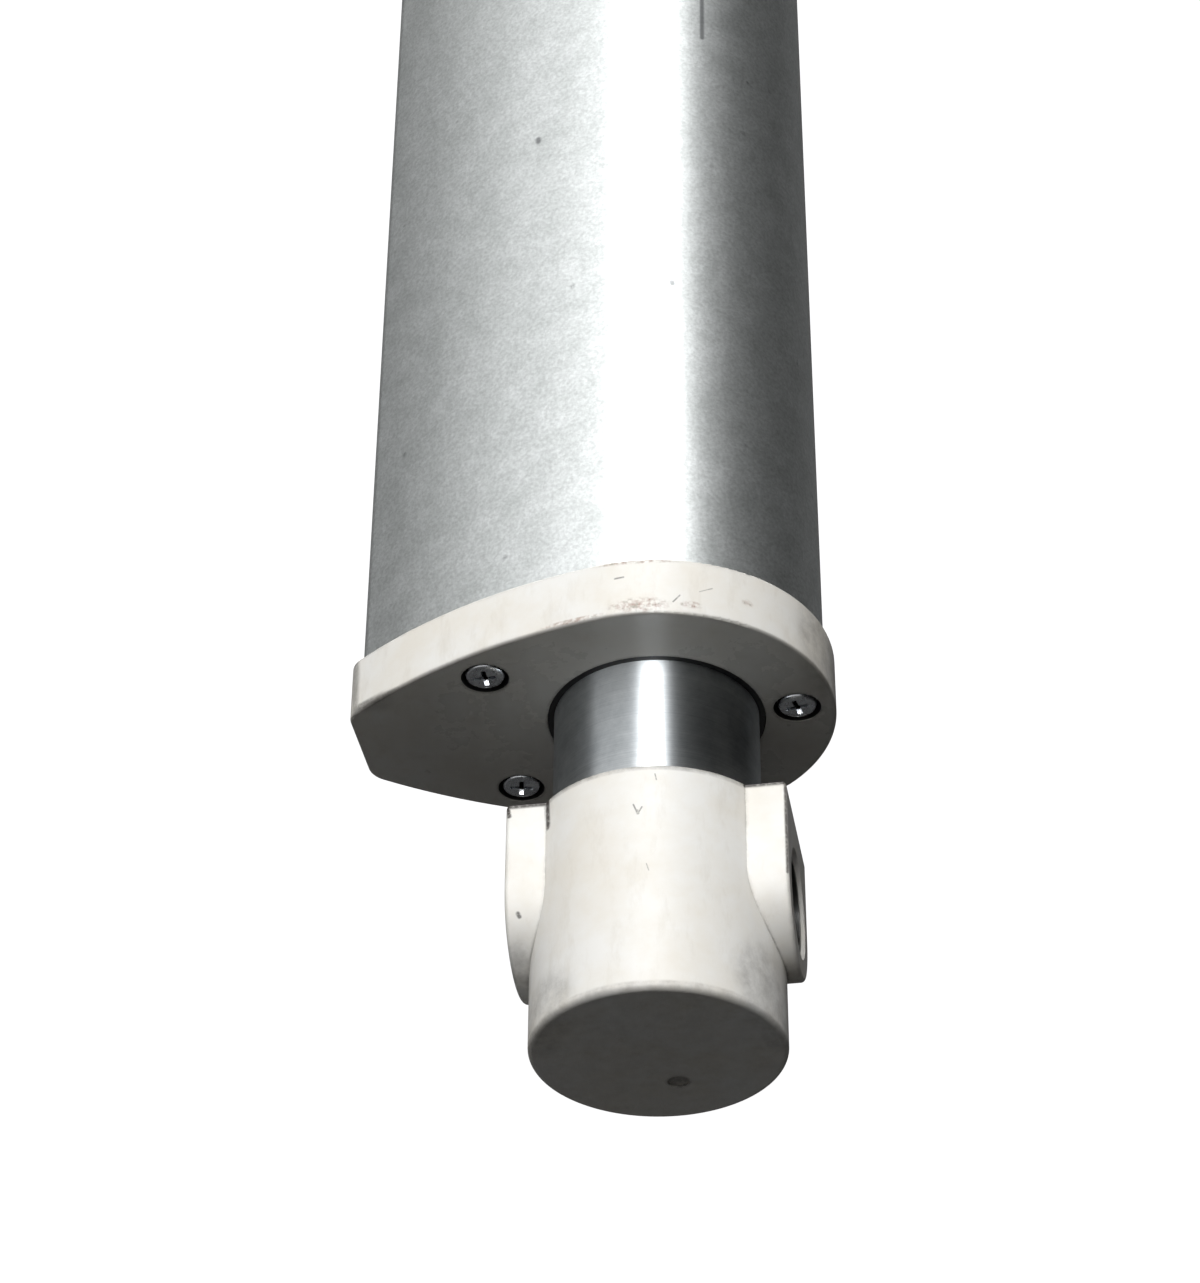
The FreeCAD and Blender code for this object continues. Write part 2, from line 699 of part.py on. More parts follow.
def ball_track():
    middle = at(0, BEARING_REAR + BEARING_WIDTH / 2, 0)
    return Part.makeTorus(BALL_PITCH_R, BALL_GROOVE_R, middle, FORWARD)


def bearing_inner_ring():
    body = ring(BEARING_INNER_LAND_R, SPINDLE_JOURNAL_R, BEARING_REAR, BEARING_REAR + BEARING_WIDTH)
    return body.cut(ball_track())


def bearing_outer_ring():
    body = ring(BEARING_R, BEARING_OUTER_LAND_R, BEARING_REAR, BEARING_REAR + BEARING_WIDTH)
    return body.cut(ball_track())


def bearing_balls_and_cage():
    """Eight balls in the drilled pockets of a plain cage ring."""
    middle = BEARING_REAR + BEARING_WIDTH / 2
    outer = BALL_PITCH_R + CAGE_HALF_WALL
    inner = BALL_PITCH_R - CAGE_HALF_WALL
    cage = ring(outer, inner, middle - CAGE_HALF_WIDTH, middle + CAGE_HALF_WIDTH)
    pocket_r = BALL_R + CAGE_POCKET_GAP
    balls = []
    pockets = []
    for index in range(BALL_COUNT):
        x, z = polar(SPINDLE_AXIS, 1.0, 2 * math.pi * (index + 0.5) / BALL_COUNT)
        outward = V(x, 0, z)
        balls.append(Part.makeSphere(BALL_R, at(0, middle, 0) + outward * BALL_PITCH_R))
        pockets.append(Part.makeCylinder(pocket_r, BEARING_R, at(0, middle, 0), outward))
    return group(balls + cage.cut(pockets).Solids)


def idler(centre, wheel, pinion):
    """Compound gear, a wheel and a pinion in one moulding, turning on its pin."""
    x, z = centre
    bore = rod(PIN_R + RUNNING_GAP, SLOW_GEARS[0], FAST_GEARS[1], x, z)
    return wheel.fuse(pinion).cut(bore).removeSplitter()


def idler_gear_1():
    wheel_phase = gap_phase(direction(IDLER_1, MOTOR_AXIS), WHEEL_TEETH)
    wheel = gear(FAST_MODULE, WHEEL_TEETH, wheel_phase, IDLER_1, FAST_GEARS)
    pinion_stations = (MIDDLE_GEARS[0] + GEAR_STEP, FAST_GEARS[0])
    pinion = gear(FAST_MODULE, PINION_TEETH, direction(IDLER_1, IDLER_2), IDLER_1, pinion_stations)
    return idler(IDLER_1, wheel, pinion)


def idler_gear_2():
    wheel_phase = gap_phase(direction(IDLER_2, IDLER_1), WHEEL_TEETH)
    wheel = gear(FAST_MODULE, WHEEL_TEETH, wheel_phase, IDLER_2, MIDDLE_GEARS)
    pinion_stations = (SLOW_GEARS[0], MIDDLE_GEARS[0])
    pinion_phase = direction(IDLER_2, SPINDLE_AXIS)
    pinion = gear(SLOW_MODULE, DRIVE_PINION_TEETH, pinion_phase, IDLER_2, pinion_stations)
    return idler(IDLER_2, wheel, pinion)


def idler_pins():
    rear = COVER_FRONT - PIN_SEAT
    front = WALL_REAR + PIN_SEAT
    return group([rod(PIN_R, rear, front, x, z) for x, z in (IDLER_1, IDLER_2)])


def motor_pinion():
    body = gear(FAST_MODULE, PINION_TEETH, direction(MOTOR_AXIS, IDLER_1), MOTOR_AXIS, FAST_GEARS)
    return body.cut(rod(SHAFT_R, FAST_GEARS[0], FAST_GEARS[1], MOTOR_X))


def motor_shaft():
    return rod(SHAFT_R, SHAFT_REAR, SHAFT_FRONT, MOTOR_X)


def armature_slots(outer):
    """Radial slots of the armature, as solids."""
    slots = []
    rear, front = ARMATURE
    for index in range(ARMATURE_SLOTS):
        slot = block((MOTOR_X + SLOT_INNER, MOTOR_X + outer), (rear, front), (-SLOT_HALF, SLOT_HALF))
        slots.append(slot.rotated(at(MOTOR_X, 0, 0), FORWARD, 360.0 * index / ARMATURE_SLOTS))
    return slots


def armature_core():
    """Slotted stack of laminations."""
    body = ring(ARMATURE_R, SHAFT_R, ARMATURE[0], ARMATURE[1], MOTOR_X)
    return body.cut(armature_slots(2 * ARMATURE_R))


def armature_windings():
    """Copper in the slots and the end turns at both ends, one wound mass."""
    rear, front = ARMATURE
    tail = ring(WINDING_R, WINDING_BORE_R, rear - WINDING_REAR, rear, MOTOR_X)
    tail = tail.makeFillet(WINDING_ROUND, edges_at(tail, rear - WINDING_REAR))
    nose = ring(WINDING_R, WINDING_BORE_R, front, front + WINDING_FRONT, MOTOR_X)
    return fuse_all([tail, nose] + armature_slots(WINDING_R))


def commutator():
    return ring(COMMUTATOR_R, SHAFT_R, COMMUTATOR[0], COMMUTATOR[1], MOTOR_X)


def motor_can():
    """Deep-drawn steel can, closed towards the gearbox."""
    body = rod(CAN_R, TUBE_REAR, CAN_FRONT, MOTOR_X)
    cuts = [
        rod(CAN_R - CAN_WALL, TUBE_REAR + CAN_WALL, CAN_FRONT, MOTOR_X),
        rod(BUSH_R, TUBE_REAR, TUBE_REAR + CAN_WALL, MOTOR_X),
    ]
    cuts += [rod(PORT_HOLE_R, TUBE_REAR, TUBE_REAR + CAN_WALL, MOTOR_X, z) for z in MOTOR_SCREWS_Z]
    return body.cut(cuts)


def motor_magnets():
    """Two arc magnets bonded inside the can."""
    rear, front = MAGNETS
    magnets = []
    for middle in (0.0, 180.0):
        start = math.radians(middle - MAGNET_DEG / 2)
        spread = math.radians(MAGNET_DEG)
        outer = CAN_R - CAN_WALL
        turns = (start, start + spread / 2, start + spread)
        far = [polar(MOTOR_AXIS, outer, turn) for turn in turns]
        near = [polar(MOTOR_AXIS, MAGNET_BORE_R, turn) for turn in reversed(turns)]
        outline = Part.Wire([
            arc(far, rear),
            Part.makeLine(on(far[2], rear), on(near[0], rear)),
            arc(near, rear),
            Part.makeLine(on(near[2], rear), on(far[0], rear)),
        ])
        magnets.append(prism(outline, front - rear))
    return group(magnets)


def brush_blocks():
    """The two brushes, one each side of the commutator."""
    stations = (COMMUTATOR[0] + BRUSH_INSET, COMMUTATOR[1] - BRUSH_INSET)
    blocks = []
    for side in (-1, 1):
        z_range = sorted((side * (COMMUTATOR_R + BRUSH_GAP), side * BRUSH_REACH))
        blocks.append(block((MOTOR_X - BRUSH_HALF, MOTOR_X + BRUSH_HALF), stations, z_range))
    return blocks


def motor_brushes():
    return group(brush_blocks())


def motor_end_bell():
    """Plastic end bell with the brush guides and the bush seat."""
    skirt = rod(CAN_R - CAN_WALL, END_BELL_REAR, CAN_FRONT, MOTOR_X)
    lid = rod(CAN_R, CAN_FRONT, CAN_FRONT + END_BELL_LID, MOTOR_X)
    nose = rod(END_BELL_NOSE_R, CAN_FRONT + END_BELL_LID, END_BELL_FRONT, MOTOR_X)
    cuts = [
        rod(END_BELL_HOLLOW_R, END_BELL_REAR, COMMUTATOR[0], MOTOR_X),
        rod(COMMUTATOR_R + COMMUTATOR_GAP, COMMUTATOR[0], CAN_FRONT, MOTOR_X),
        rod(BUSH_R, CAN_FRONT, END_BELL_FRONT - END_BELL_NOSE, MOTOR_X),
    ]
    return fuse_all([skirt, lid, nose]).cut(cuts + brush_blocks()).removeSplitter()


def motor_bushes():
    """Two sintered bushes, in the can and in the end bell."""
    bore = SHAFT_R + RUNNING_GAP
    return group([
        ring(BUSH_R, bore, TUBE_REAR, TUBE_REAR + BUSH_LENGTH, MOTOR_X),
        ring(BUSH_R, bore, CAN_FRONT, END_BELL_FRONT - END_BELL_NOSE, MOTOR_X),
    ])


def motor_mount_screws():
    tip = TUBE_REAR + CAN_WALL + MOTOR_SCREW_BITE
    head_end = WALL_REAR - CAP_SCREW_HEAD
    screws = []
    for z in MOTOR_SCREWS_Z:
        screws.append(screw(PORT_HOLE_R, MOTOR_SCREW_HEAD_R, CAP_SCREW_HEAD, head_end, tip, MOTOR_X, z))
    return group(screws)


def cover_ears():
    return [polar(MOTOR_AXIS, COVER_EAR_PCD_R, math.radians(turn)) for turn in COVER_EAR_DEG]


def motor_cover():
    """Tapered cup over the motor, with four screw ears on its rim."""
    cup = cone(COVER_R, COVER_TIP_R, TUBE_REAR, COVER_TIP, MOTOR_X)
    cup = cup.makeFillet(COVER_TIP_ROUND, edges_at(cup, COVER_TIP))
    ears = []
    cuts = [rod(COVER_BORE_R, TUBE_REAR, COVER_TIP - COVER_TIP_WALL, MOTOR_X)]
    for x, z in cover_ears():
        ear = rod(COVER_EAR_R, TUBE_REAR, COVER_EAR_FRONT, x, z)
        ears.append(ear.makeFillet(COVER_EAR_ROUND, edges_at(ear, COVER_EAR_FRONT)))
        cuts.append(rod(COVER_EAR_SCREW_R, TUBE_REAR, COVER_EAR_FRONT, x, z))
    return cup.multiFuse(ears).cut(cuts).removeSplitter()


def motor_cover_screws():
    head_end = COVER_EAR_FRONT + COVER_EAR_HEAD
    tip = WALL_REAR + BLIND_WALL
    screws = []
    for x, z in cover_ears():
        screws.append(screw(COVER_EAR_SCREW_R, COVER_EAR_HEAD_R, COVER_EAR_HEAD, head_end, tip, x, z))
    return group(screws)


def collar_gussets():
    """Thin triangles between the gearbox's front face and the collar, above and below."""
    top = COLLAR_FRONT - COLLAR_EDGE_ROUND
    gussets = []
    for x in COLLAR_GUSSETS_X:
        for side in (-1, 1):
            foot = side * (BOX_HALF - BOX_EDGE_ROUND)
            corners = [at(x, TUBE_REAR, 0), at(x, TUBE_REAR, foot), at(x, top, 0)]
            face = Part.Face(Part.makePolygon(corners + corners[:1]))
            gussets.append(face.extrude(ACROSS * COLLAR_GUSSET))
    return gussets


def gear_housing():
    """Main gearbox moulding: an open box with screw bosses, and a collar for the tube."""
    body = box_prism(0.0, HOUSING_REAR, TUBE_REAR)
    body = body.makeFillet(BOX_EDGE_ROUND, edges_at(body, TUBE_REAR))
    collar = egg_prism(COLLAR_WALL, TUBE_REAR - BLIND_WALL, COLLAR_FRONT)
    collar = collar.makeFillet(COLLAR_EDGE_ROUND, edges_at(collar, COLLAR_FRONT))
    cavity = box_prism(BOX_WALL, HOUSING_REAR, WALL_REAR)
    cavity = cavity.cut([rod(COVER_SCREW_BOSS_R, HOUSING_REAR, WALL_REAR, x, z) for x, z in COVER_SCREWS])
    cuts = [
        cavity,
        egg_prism(0.0, TUBE_REAR, COLLAR_FRONT),
        rod(FRONT_BUSH_R, WALL_REAR, TUBE_REAR),
        rod(MOTOR_PILOT_R, WALL_REAR, TUBE_REAR, MOTOR_X),
    ]
    cuts += [rod(COVER_SCREW_R, HOUSING_REAR, WALL_REAR - SCREW_BITE, x, z) for x, z in COVER_SCREWS]
    cuts += [rod(PIN_R, WALL_REAR, WALL_REAR + PIN_SEAT, x, z) for x, z in (IDLER_1, IDLER_2)]
    cuts += [rod(PORT_HOLE_R, WALL_REAR, TUBE_REAR, MOTOR_X, z) for z in MOTOR_SCREWS_Z]
    cuts += [rod(COVER_EAR_SCREW_R, WALL_REAR + BLIND_WALL, TUBE_REAR, x, z) for x, z in cover_ears()]
    for x, z in PORTS:
        cuts.append(rod(PORT_HOLE_R, WALL_REAR, TUBE_REAR, x, z))
        cuts.append(rod(REAR_SCREW_RECESS_R, WALL_REAR, WALL_REAR + REAR_SCREW_RECESS, x, z))
    return body.multiFuse([collar] + collar_gussets()).cut(cuts).removeSplitter()


def tube_rear_screws():
    head_end = WALL_REAR + REAR_SCREW_RECESS - REAR_SCREW_HEAD
    tip = TUBE_REAR + SCREW_BITE
    return group([
        screw(PORT_HOLE_R, CAP_SCREW_HEAD_R, REAR_SCREW_HEAD, head_end, tip, x, z) for x, z in PORTS
    ])


def cover_ribs():
    """Gussets from the bearing boss out to the cover plate."""
    rear = COVER_BOSS_REAR + COVER_RIB_DROP
    ribs = []
    for turn, reach in COVER_RIBS:
        corners = [at(COVER_RIB_ROOT, COVER_REAR, 0), at(COVER_RIB_ROOT, rear, 0)]
        corners += [at(COVER_RIB_TOP, rear, 0), at(reach, COVER_REAR, 0)]
        face = Part.Face(Part.makePolygon(corners + corners[:1]))
        rib = face.extrude(V(0, 0, COVER_RIB)).translated(V(0, 0, -COVER_RIB / 2))
        ribs.append(rib.rotated(V(0, 0, 0), FORWARD, turn))
    return ribs


def gear_cover():
    """Rear cover of the gearbox, with the bearing boss, gussets and sunk screw seats."""
    plate = box_prism(0.0, COVER_REAR, COVER_FRONT)
    plate = plate.makeFillet(BOX_EDGE_ROUND, edges_at(plate, COVER_REAR))
    boss = cone(COVER_BOSS_END_R, COVER_BOSS_R, COVER_BOSS_REAR, COVER_REAR + BLIND_WALL)
    boss = boss.makeFillet(BOSS_EDGE_ROUND, edges_at(boss, COVER_BOSS_REAR))
    cuts = [
        rod(BEARING_R, BEARING_REAR, COVER_FRONT),
        flange_outline(EYE_FLANGE_REAR, BEARING_REAR),
        rod(EYE_NECK_R, COVER_BOSS_REAR, EYE_FLANGE_REAR),
        rod(SOCKET_R, COVER_REAR, COVER_FRONT, MOTOR_X),
    ]
    cuts += [rod(PIN_R, COVER_FRONT - PIN_SEAT, COVER_FRONT, x, z) for x, z in (IDLER_1, IDLER_2)]
    for x, z in COVER_SCREWS:
        cuts.append(rod(COVER_SCREW_HEAD_R + RIB_GAP, COVER_REAR, COVER_REAR + COVER_SCREW_SUNK, x, z))
        cuts.append(rod(COVER_SCREW_R, COVER_REAR, COVER_FRONT, x, z))
    return plate.multiFuse([boss] + cover_ribs()).cut(cuts).removeSplitter()


def gear_cover_screws():
    head_end = COVER_REAR + COVER_SCREW_SUNK - COVER_SCREW_HEAD
    tip = WALL_REAR - SCREW_BITE - BLIND_WALL
    screws = []
    for x, z in COVER_SCREWS:
        screws.append(screw(COVER_SCREW_R, COVER_SCREW_HEAD_R, COVER_SCREW_HEAD, head_end, tip, x, z))
    return group(screws)


def cover_gasket():
    """Flat gasket between the housing and its cover, with an eye at each screw."""
    body = box_prism(GASKET_INSET, COVER_FRONT, HOUSING_REAR)
    body = body.cut(box_prism(BOX_WALL, COVER_FRONT, HOUSING_REAR))
    eyes = [rod(COVER_SCREW_BOSS_R, COVER_FRONT, HOUSING_REAR, x, z) for x, z in COVER_SCREWS]
    holes = [rod(COVER_SCREW_R, COVER_FRONT, HOUSING_REAR, x, z) for x, z in COVER_SCREWS]
    return body.multiFuse(eyes).cut(holes).removeSplitter()


def flange_outline(rear, front):
    """Round flange with two flats, which stops the eye from turning."""
    body = rod(EYE_FLANGE_R, rear, front)
    flats = (-EYE_FLANGE_FLAT, EYE_FLANGE_FLAT)
    return body.common(block((-EYE_FLANGE_R, EYE_FLANGE_R), (rear, front), flats))


def rear_eye():
    """Die-cast pivot eye: a keyed flange behind the bearing, a neck and a rounded lug."""
    flange = flange_outline(EYE_FLANGE_REAR, BEARING_REAR)
    neck = rod(EYE_NECK_R, EYE_NECK_REAR, EYE_FLANGE_REAR)
    lug = crossbar(EYE_R, 0.0, -EYE_HALF_WIDTH, EYE_HALF_WIDTH)
    lug = lug.makeFillet(EYE_ROUND, edges_at_x(lug, -EYE_HALF_WIDTH) + edges_at_x(lug, EYE_HALF_WIDTH))
    cuts = [
        crossbar(PIVOT_BUSH_R, 0.0, -EYE_HALF_WIDTH, EYE_HALF_WIDTH),
        rod(EYE_RECESS_R, EYE_RECESS_REAR, BEARING_REAR),
    ]
    return fuse_all([flange, neck, lug]).cut(cuts).removeSplitter()


def rear_eye_bush():
    return cross_bush(0.0, EYE_HALF_WIDTH)


def contact_places():
    return [polar(MOTOR_AXIS, CONTACT_PCD_R, math.radians(turn)) for turn in CONTACT_DEG]


def cable_socket():
    """Round inlet for the supply lead's plug, flanged on the cover."""
    floor = SOCKET_REAR + SOCKET_DEPTH
    barrel = rod(SOCKET_R, SOCKET_REAR, COVER_FRONT, MOTOR_X)
    barrel = barrel.makeChamfer(SOCKET_EDGE, edges_at(barrel, SOCKET_REAR))
    flange = rod(SOCKET_FLANGE_R, COVER_REAR - SOCKET_FLANGE, COVER_REAR, MOTOR_X)
    flange = flange.makeFillet(SOCKET_EDGE, edges_at(flange, COVER_REAR - SOCKET_FLANGE))
    cuts = [rod(SOCKET_BORE_R, SOCKET_REAR, floor, MOTOR_X)]
    cuts += [rod(CONTACT_R, floor, COVER_FRONT, x, z) for x, z in contact_places()]
    return barrel.fuse(flange).cut(cuts).removeSplitter()


def socket_contacts():
    """Four brass sleeves, flush with the socket's floor."""
    floor = SOCKET_REAR + SOCKET_DEPTH
    end = COVER_FRONT + CONTACT_TAIL
    return group([ring(CONTACT_R, CONTACT_BORE_R, floor, end, x, z) for x, z in contact_places()])


def switch_board():
    return block(BOARD_X, BOARD, (-BOARD_HALF, BOARD_HALF))


def limit_switches():
    """Two switch bodies on the board, each bored for its plunger."""
    bodies = []
    for station in SWITCH_STATIONS.values():
        stations = (station - SWITCH_HALF_LENGTH, station + SWITCH_HALF_LENGTH)
        body = block((BOARD_X[1], SWITCH_TOP_X), stations, (-SWITCH_HALF_WIDTH, SWITCH_HALF_WIDTH))
        bodies.append(body.cut(crossbar(PLUNGER_R + PLUNGER_GAP, station, PLUNGER_HOLE_X, SWITCH_TOP_X)))
    return group(bodies)


def switch_plunger(name):
    button = crossbar(PLUNGER_R, SWITCH_STATIONS[name], PLUNGER_FOOT_X, PLUNGER_TIP_X)
    return button.makeFillet(PLUNGER_ROUND, edges_at_x(button, PLUNGER_TIP_X))


def retract_switch_plunger():
    return switch_plunger("retract")


def extend_switch_plunger():
    return switch_plunger("extend")


NODES = [
    outer_tube, front_cap, front_cap_screws, wiper_seal, front_guide_bush,
    piston_rod, rod_head, rod_head_bush, spindle_nut, nut_guide, nut_pins,
    spindle, spindle_retaining_ring, spindle_gear, gear_drive_pin, spindle_guide_ring,
    spindle_front_bush, bearing_inner_ring, bearing_outer_ring, bearing_balls_and_cage,
    idler_gear_1, idler_gear_2, idler_pins,
    motor_pinion, motor_shaft, armature_core, armature_windings, commutator,
    motor_can, motor_magnets, motor_brushes, motor_end_bell, motor_bushes, motor_mount_screws,
    motor_cover, motor_cover_screws,
    gear_housing, tube_rear_screws, gear_cover, gear_cover_screws, cover_gasket,
    rear_eye, rear_eye_bush, cable_socket, socket_contacts,
    switch_board, limit_switches, retract_switch_plunger, extend_switch_plunger,
]

os.makedirs("parts", exist_ok=True)
for make in NODES:
    shape = make()
    shape.exportStep("parts/" + make.__name__ + ".step")
    print(make.__name__, len(shape.Solids), "solids", round(shape.Volume, 1), "mm3")
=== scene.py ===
# %% [markdown]
# # An electric linear actuator
# The actuator pushes a bright rod out of an aluminium tube. Its CAD model is loaded as a fixed
# frame, so every node already sits where it belongs, in metres, with the rear pivot at the origin,
# the rod pointing along -Y and +Z up. Nothing below moves those nodes: the work here is light,
# finish and the small details that a CAD model leaves out.

import json
import math

import bmesh
import bpy
from mathutils import Matrix, Vector


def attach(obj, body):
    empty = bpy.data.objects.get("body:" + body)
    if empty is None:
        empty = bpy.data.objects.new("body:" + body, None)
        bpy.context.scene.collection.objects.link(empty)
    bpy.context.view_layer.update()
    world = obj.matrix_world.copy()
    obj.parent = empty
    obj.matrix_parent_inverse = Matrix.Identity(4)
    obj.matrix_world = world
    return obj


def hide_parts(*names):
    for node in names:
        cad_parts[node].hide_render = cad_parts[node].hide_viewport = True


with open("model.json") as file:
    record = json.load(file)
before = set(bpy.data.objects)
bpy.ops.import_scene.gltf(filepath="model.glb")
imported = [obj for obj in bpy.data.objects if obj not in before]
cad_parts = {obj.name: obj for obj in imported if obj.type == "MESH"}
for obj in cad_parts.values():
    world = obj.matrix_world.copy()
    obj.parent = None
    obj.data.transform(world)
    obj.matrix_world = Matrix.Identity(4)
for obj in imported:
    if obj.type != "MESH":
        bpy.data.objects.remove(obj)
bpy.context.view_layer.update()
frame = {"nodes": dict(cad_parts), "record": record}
nodes = frame["nodes"]
studio = bpy.context.scene.collection
MM = 0.001

# %% [markdown]
# ## Camera
# The photograph looks down on the rod end from in front, with a longish lens, and the actuator lies
# rolled by a few degrees. Its place was worked out once from the outlines of the rod, the cap and
# the head, so the camera is given by where it stands and by its two picture directions.

# %% Camera
PICTURE = (1200, 1283)
CAMERA_AT = Vector((0.061765, -0.626078, 0.406713))
PICTURE_RIGHT = Vector((0.98610, 0.00576, -0.16605))
PICTURE_UP = Vector((0.09423, 0.80376, 0.58744))
FOCAL_PIXELS = 3438.6
SENSOR_MM = 36.0
CLIP_NEAR, CLIP_FAR = 0.01, 50.0

lens = bpy.data.cameras.new("portrait_camera")
lens.sensor_width = SENSOR_MM
lens.lens = FOCAL_PIXELS * SENSOR_MM / max(PICTURE)
lens.clip_start, lens.clip_end = CLIP_NEAR, CLIP_FAR
camera = bpy.data.objects.new("portrait_camera", lens)
towards_camera = PICTURE_RIGHT.cross(PICTURE_UP)
turn = Matrix((PICTURE_RIGHT, PICTURE_UP, towards_camera)).transposed()
camera.matrix_world = Matrix.Translation(CAMERA_AT) @ turn.to_4x4()
studio.objects.link(camera)
bpy.context.scene.camera = camera
bpy.context.scene.view_settings.view_transform = "Standard"
print("camera: lens", round(lens.lens, 1), "mm")

# %% [markdown]
# ## Helpers for colour and shading
# Colours are written as the hex values one would pick off a photograph. Shaders work in linear
# light, so one function converts them. A pattern's size is written in millimetres and turned into
# the scale that texture nodes want. One small function adds a shader node, sets it up and links it,
# and every material below is built from that call.

# %% Helpers for colour and shading


def linear(hex_colour):
    """Linear RGBA of an sRGB hex colour."""
    values = [int(hex_colour[i:i + 2], 16) / 255 for i in (1, 3, 5)]
    return [v / 12.92 if v <= 0.04045 else ((v + 0.055) / 1.055) ** 2.4 for v in values] + [1.0]


def per(size_mm):
    """Texture scale of a pattern whose features are this many millimetres apart."""
    return 1.0 / (size_mm * MM)


def plug(tree, target, inputs):
    """Sets a node's inputs to values, or links them from other nodes' outputs."""
    for key, value in inputs.items():
        if isinstance(value, bpy.types.NodeSocket):
            tree.links.new(value, target.inputs[key])
        else:
            target.inputs[key].default_value = value


def add(tree, kind, inputs=None, **settings):
    """Adds a shader node with its settings and inputs."""
    made = tree.nodes.new("ShaderNode" + kind)
    for name, value in settings.items():
        setattr(made, name, value)
    plug(tree, made, inputs or {})
    return made


print("mid grey is", round(linear("#808080")[0], 3), "in linear light")

# %% [markdown]
# ## Floor
# The background is plain white and shows no shadow near the object, so the floor lies well below
# it. A floor that was truly lit to white would throw light up at the object from below. Here the
# floor is a quiet grey to the light that bounces about. Where it is looked at, directly or in a
# reflection, it glows as well, a little less than white close to the object, and the lamps bring
# it up to white there, so that the object's soft shadow stays on it. From underneath the floor is
# clear, so that the object can be looked at from below as well.

# %% Floor
WHITE, FLOOR_GREY = "#FFFFFF", "#808080"
FLOOR_DROP = 0.6
FLOOR_RADIUS, FLOOR_SIDES = 20.0, 64
# strength of the glow close to the object and further out, and those two distances in metres
GLOW_CLOSE, GLOW_AWAY = 0.93, 1.0
CLOSE, AWAY = 0.8, 2.5


def looked_at(tree):
    """1 for a camera, glossy or transmission ray, and 0 for light that bounces about."""
    path = add(tree, "LightPath").outputs
    seen = path["Is Camera Ray"]
    for ray in ("Is Glossy Ray", "Is Transmission Ray"):
        seen = add(tree, "Math", {0: seen, 1: path[ray]}, operation="MAXIMUM").outputs[0]
    return seen


floor_mesh = bpy.data.meshes.new("floor")
disc = bmesh.new()
bmesh.ops.create_circle(disc, cap_ends=True, segments=FLOOR_SIDES, radius=FLOOR_RADIUS)
disc.to_mesh(floor_mesh)
disc.free()
floor = bpy.data.objects.new("floor", floor_mesh)
floor.location.z = -FLOOR_DROP
studio.objects.link(floor)

paper = bpy.data.materials.new("white_paper_floor")
paper.use_nodes = True
tree = paper.node_tree
tree.nodes.clear()
ground = add(tree, "TexCoord").outputs["Object"]
distance = add(tree, "VectorMath", {0: ground}, operation="LENGTH").outputs["Value"]
glow = add(tree, "MapRange", {"Value": distance, "From Min": CLOSE, "From Max": AWAY,
                              "To Min": GLOW_CLOSE, "To Max": GLOW_AWAY})
level = add(tree, "Math", {0: glow.outputs[0], 1: looked_at(tree)}, operation="MULTIPLY")
shine = add(tree, "Emission", {"Color": linear(WHITE), "Strength": level.outputs[0]})
matt = add(tree, "BsdfDiffuse", {"Color": linear(FLOOR_GREY)})
both = add(tree, "AddShader", {0: matt.outputs[0], 1: shine.outputs[0]})
below = add(tree, "NewGeometry").outputs["Backfacing"]
clear = add(tree, "BsdfTransparent")
seen = add(tree, "MixShader", {0: below, 1: both.outputs[0], 2: clear.outputs[0]})
add(tree, "OutputMaterial", {"Surface": seen.outputs[0]})
floor_mesh.materials.append(paper)
print("floor", FLOOR_DROP, "m below the rod axis")

# %% [markdown]
# ## World
# Behind the floor's edge the world is white where it is looked at. To the light that bounces about
# it is much weaker, just enough to keep the shaded faces from going black.

# %% World
WORLD_LIGHT = 0.072
world = bpy.data.worlds.new("studio")
world.use_nodes = True
tree = world.node_tree
tree.nodes.clear()
level = add(tree, "MapRange", {"Value": looked_at(tree), "To Min": WORLD_LIGHT})
sky = add(tree, "Background", {"Color": linear(WHITE), "Strength": level.outputs[0]})
add(tree, "OutputWorld", {"Surface": sky.outputs[0]})
bpy.context.scene.world = world
print("world light", WORLD_LIGHT)

# %% [markdown]
# ## Lamps
# The end faces are dark and the upper sides are bright, so the key light stands above and behind
# the object, opposite the camera, where the tube mirrors it as a broad white band. A smaller panel
# straight overhead lights the pale plastic. A strip in front of it is there for the metal alone,
# because the cap shades the rod from the key. A weak lamp at the left fills the side that faces
# it, and metal doesn't mirror that one.

# %% Lamps
AIM = Vector((0.0, -0.30, 0.0))


def panel_light(name, direction, distance, size, watts, mirrored=True, lights_matt=True):
    """Area lamp that faces the object; it can be kept from mirrors or from matt surfaces."""
    lamp = bpy.data.lights.new(name, "AREA")
    lamp.shape = "RECTANGLE"
    lamp.size, lamp.size_y = size
    lamp.energy = watts
    light = bpy.data.objects.new(name, lamp)
    away = Vector(direction).normalized()
    light.location = AIM + away * distance
    light.rotation_mode = "QUATERNION"
    light.rotation_quaternion = away.to_track_quat("Z", "Y")
    light.visible_glossy = mirrored
    light.visible_diffuse = lights_matt
    studio.objects.link(light)


panel_light("key_panel", (0.052, 0.62, 0.78), 1.6, (0.40, 1.5), 17.3)
panel_light("top_panel", (0.07, 0.06, 1.0), 1.6, (0.50, 0.5), 15.2)
panel_light("rod_strip", (0.085, -0.14, 1.0), 1.6, (0.80, 0.3), 11.5, lights_matt=False)
panel_light("left_fill", (-0.90, 0.40, 0.10), 2.0, (1.0, 1.0), 5.2, mirrored=False)

# %% [markdown]
# ## Cards
# Bright metal shows whatever stands round it, and in the photograph that is dark. So grey cards
# stand at both sides, below and in front, as a photographer would set them. They are kept out of
# the picture itself, and throw no shadow.

# %% Cards


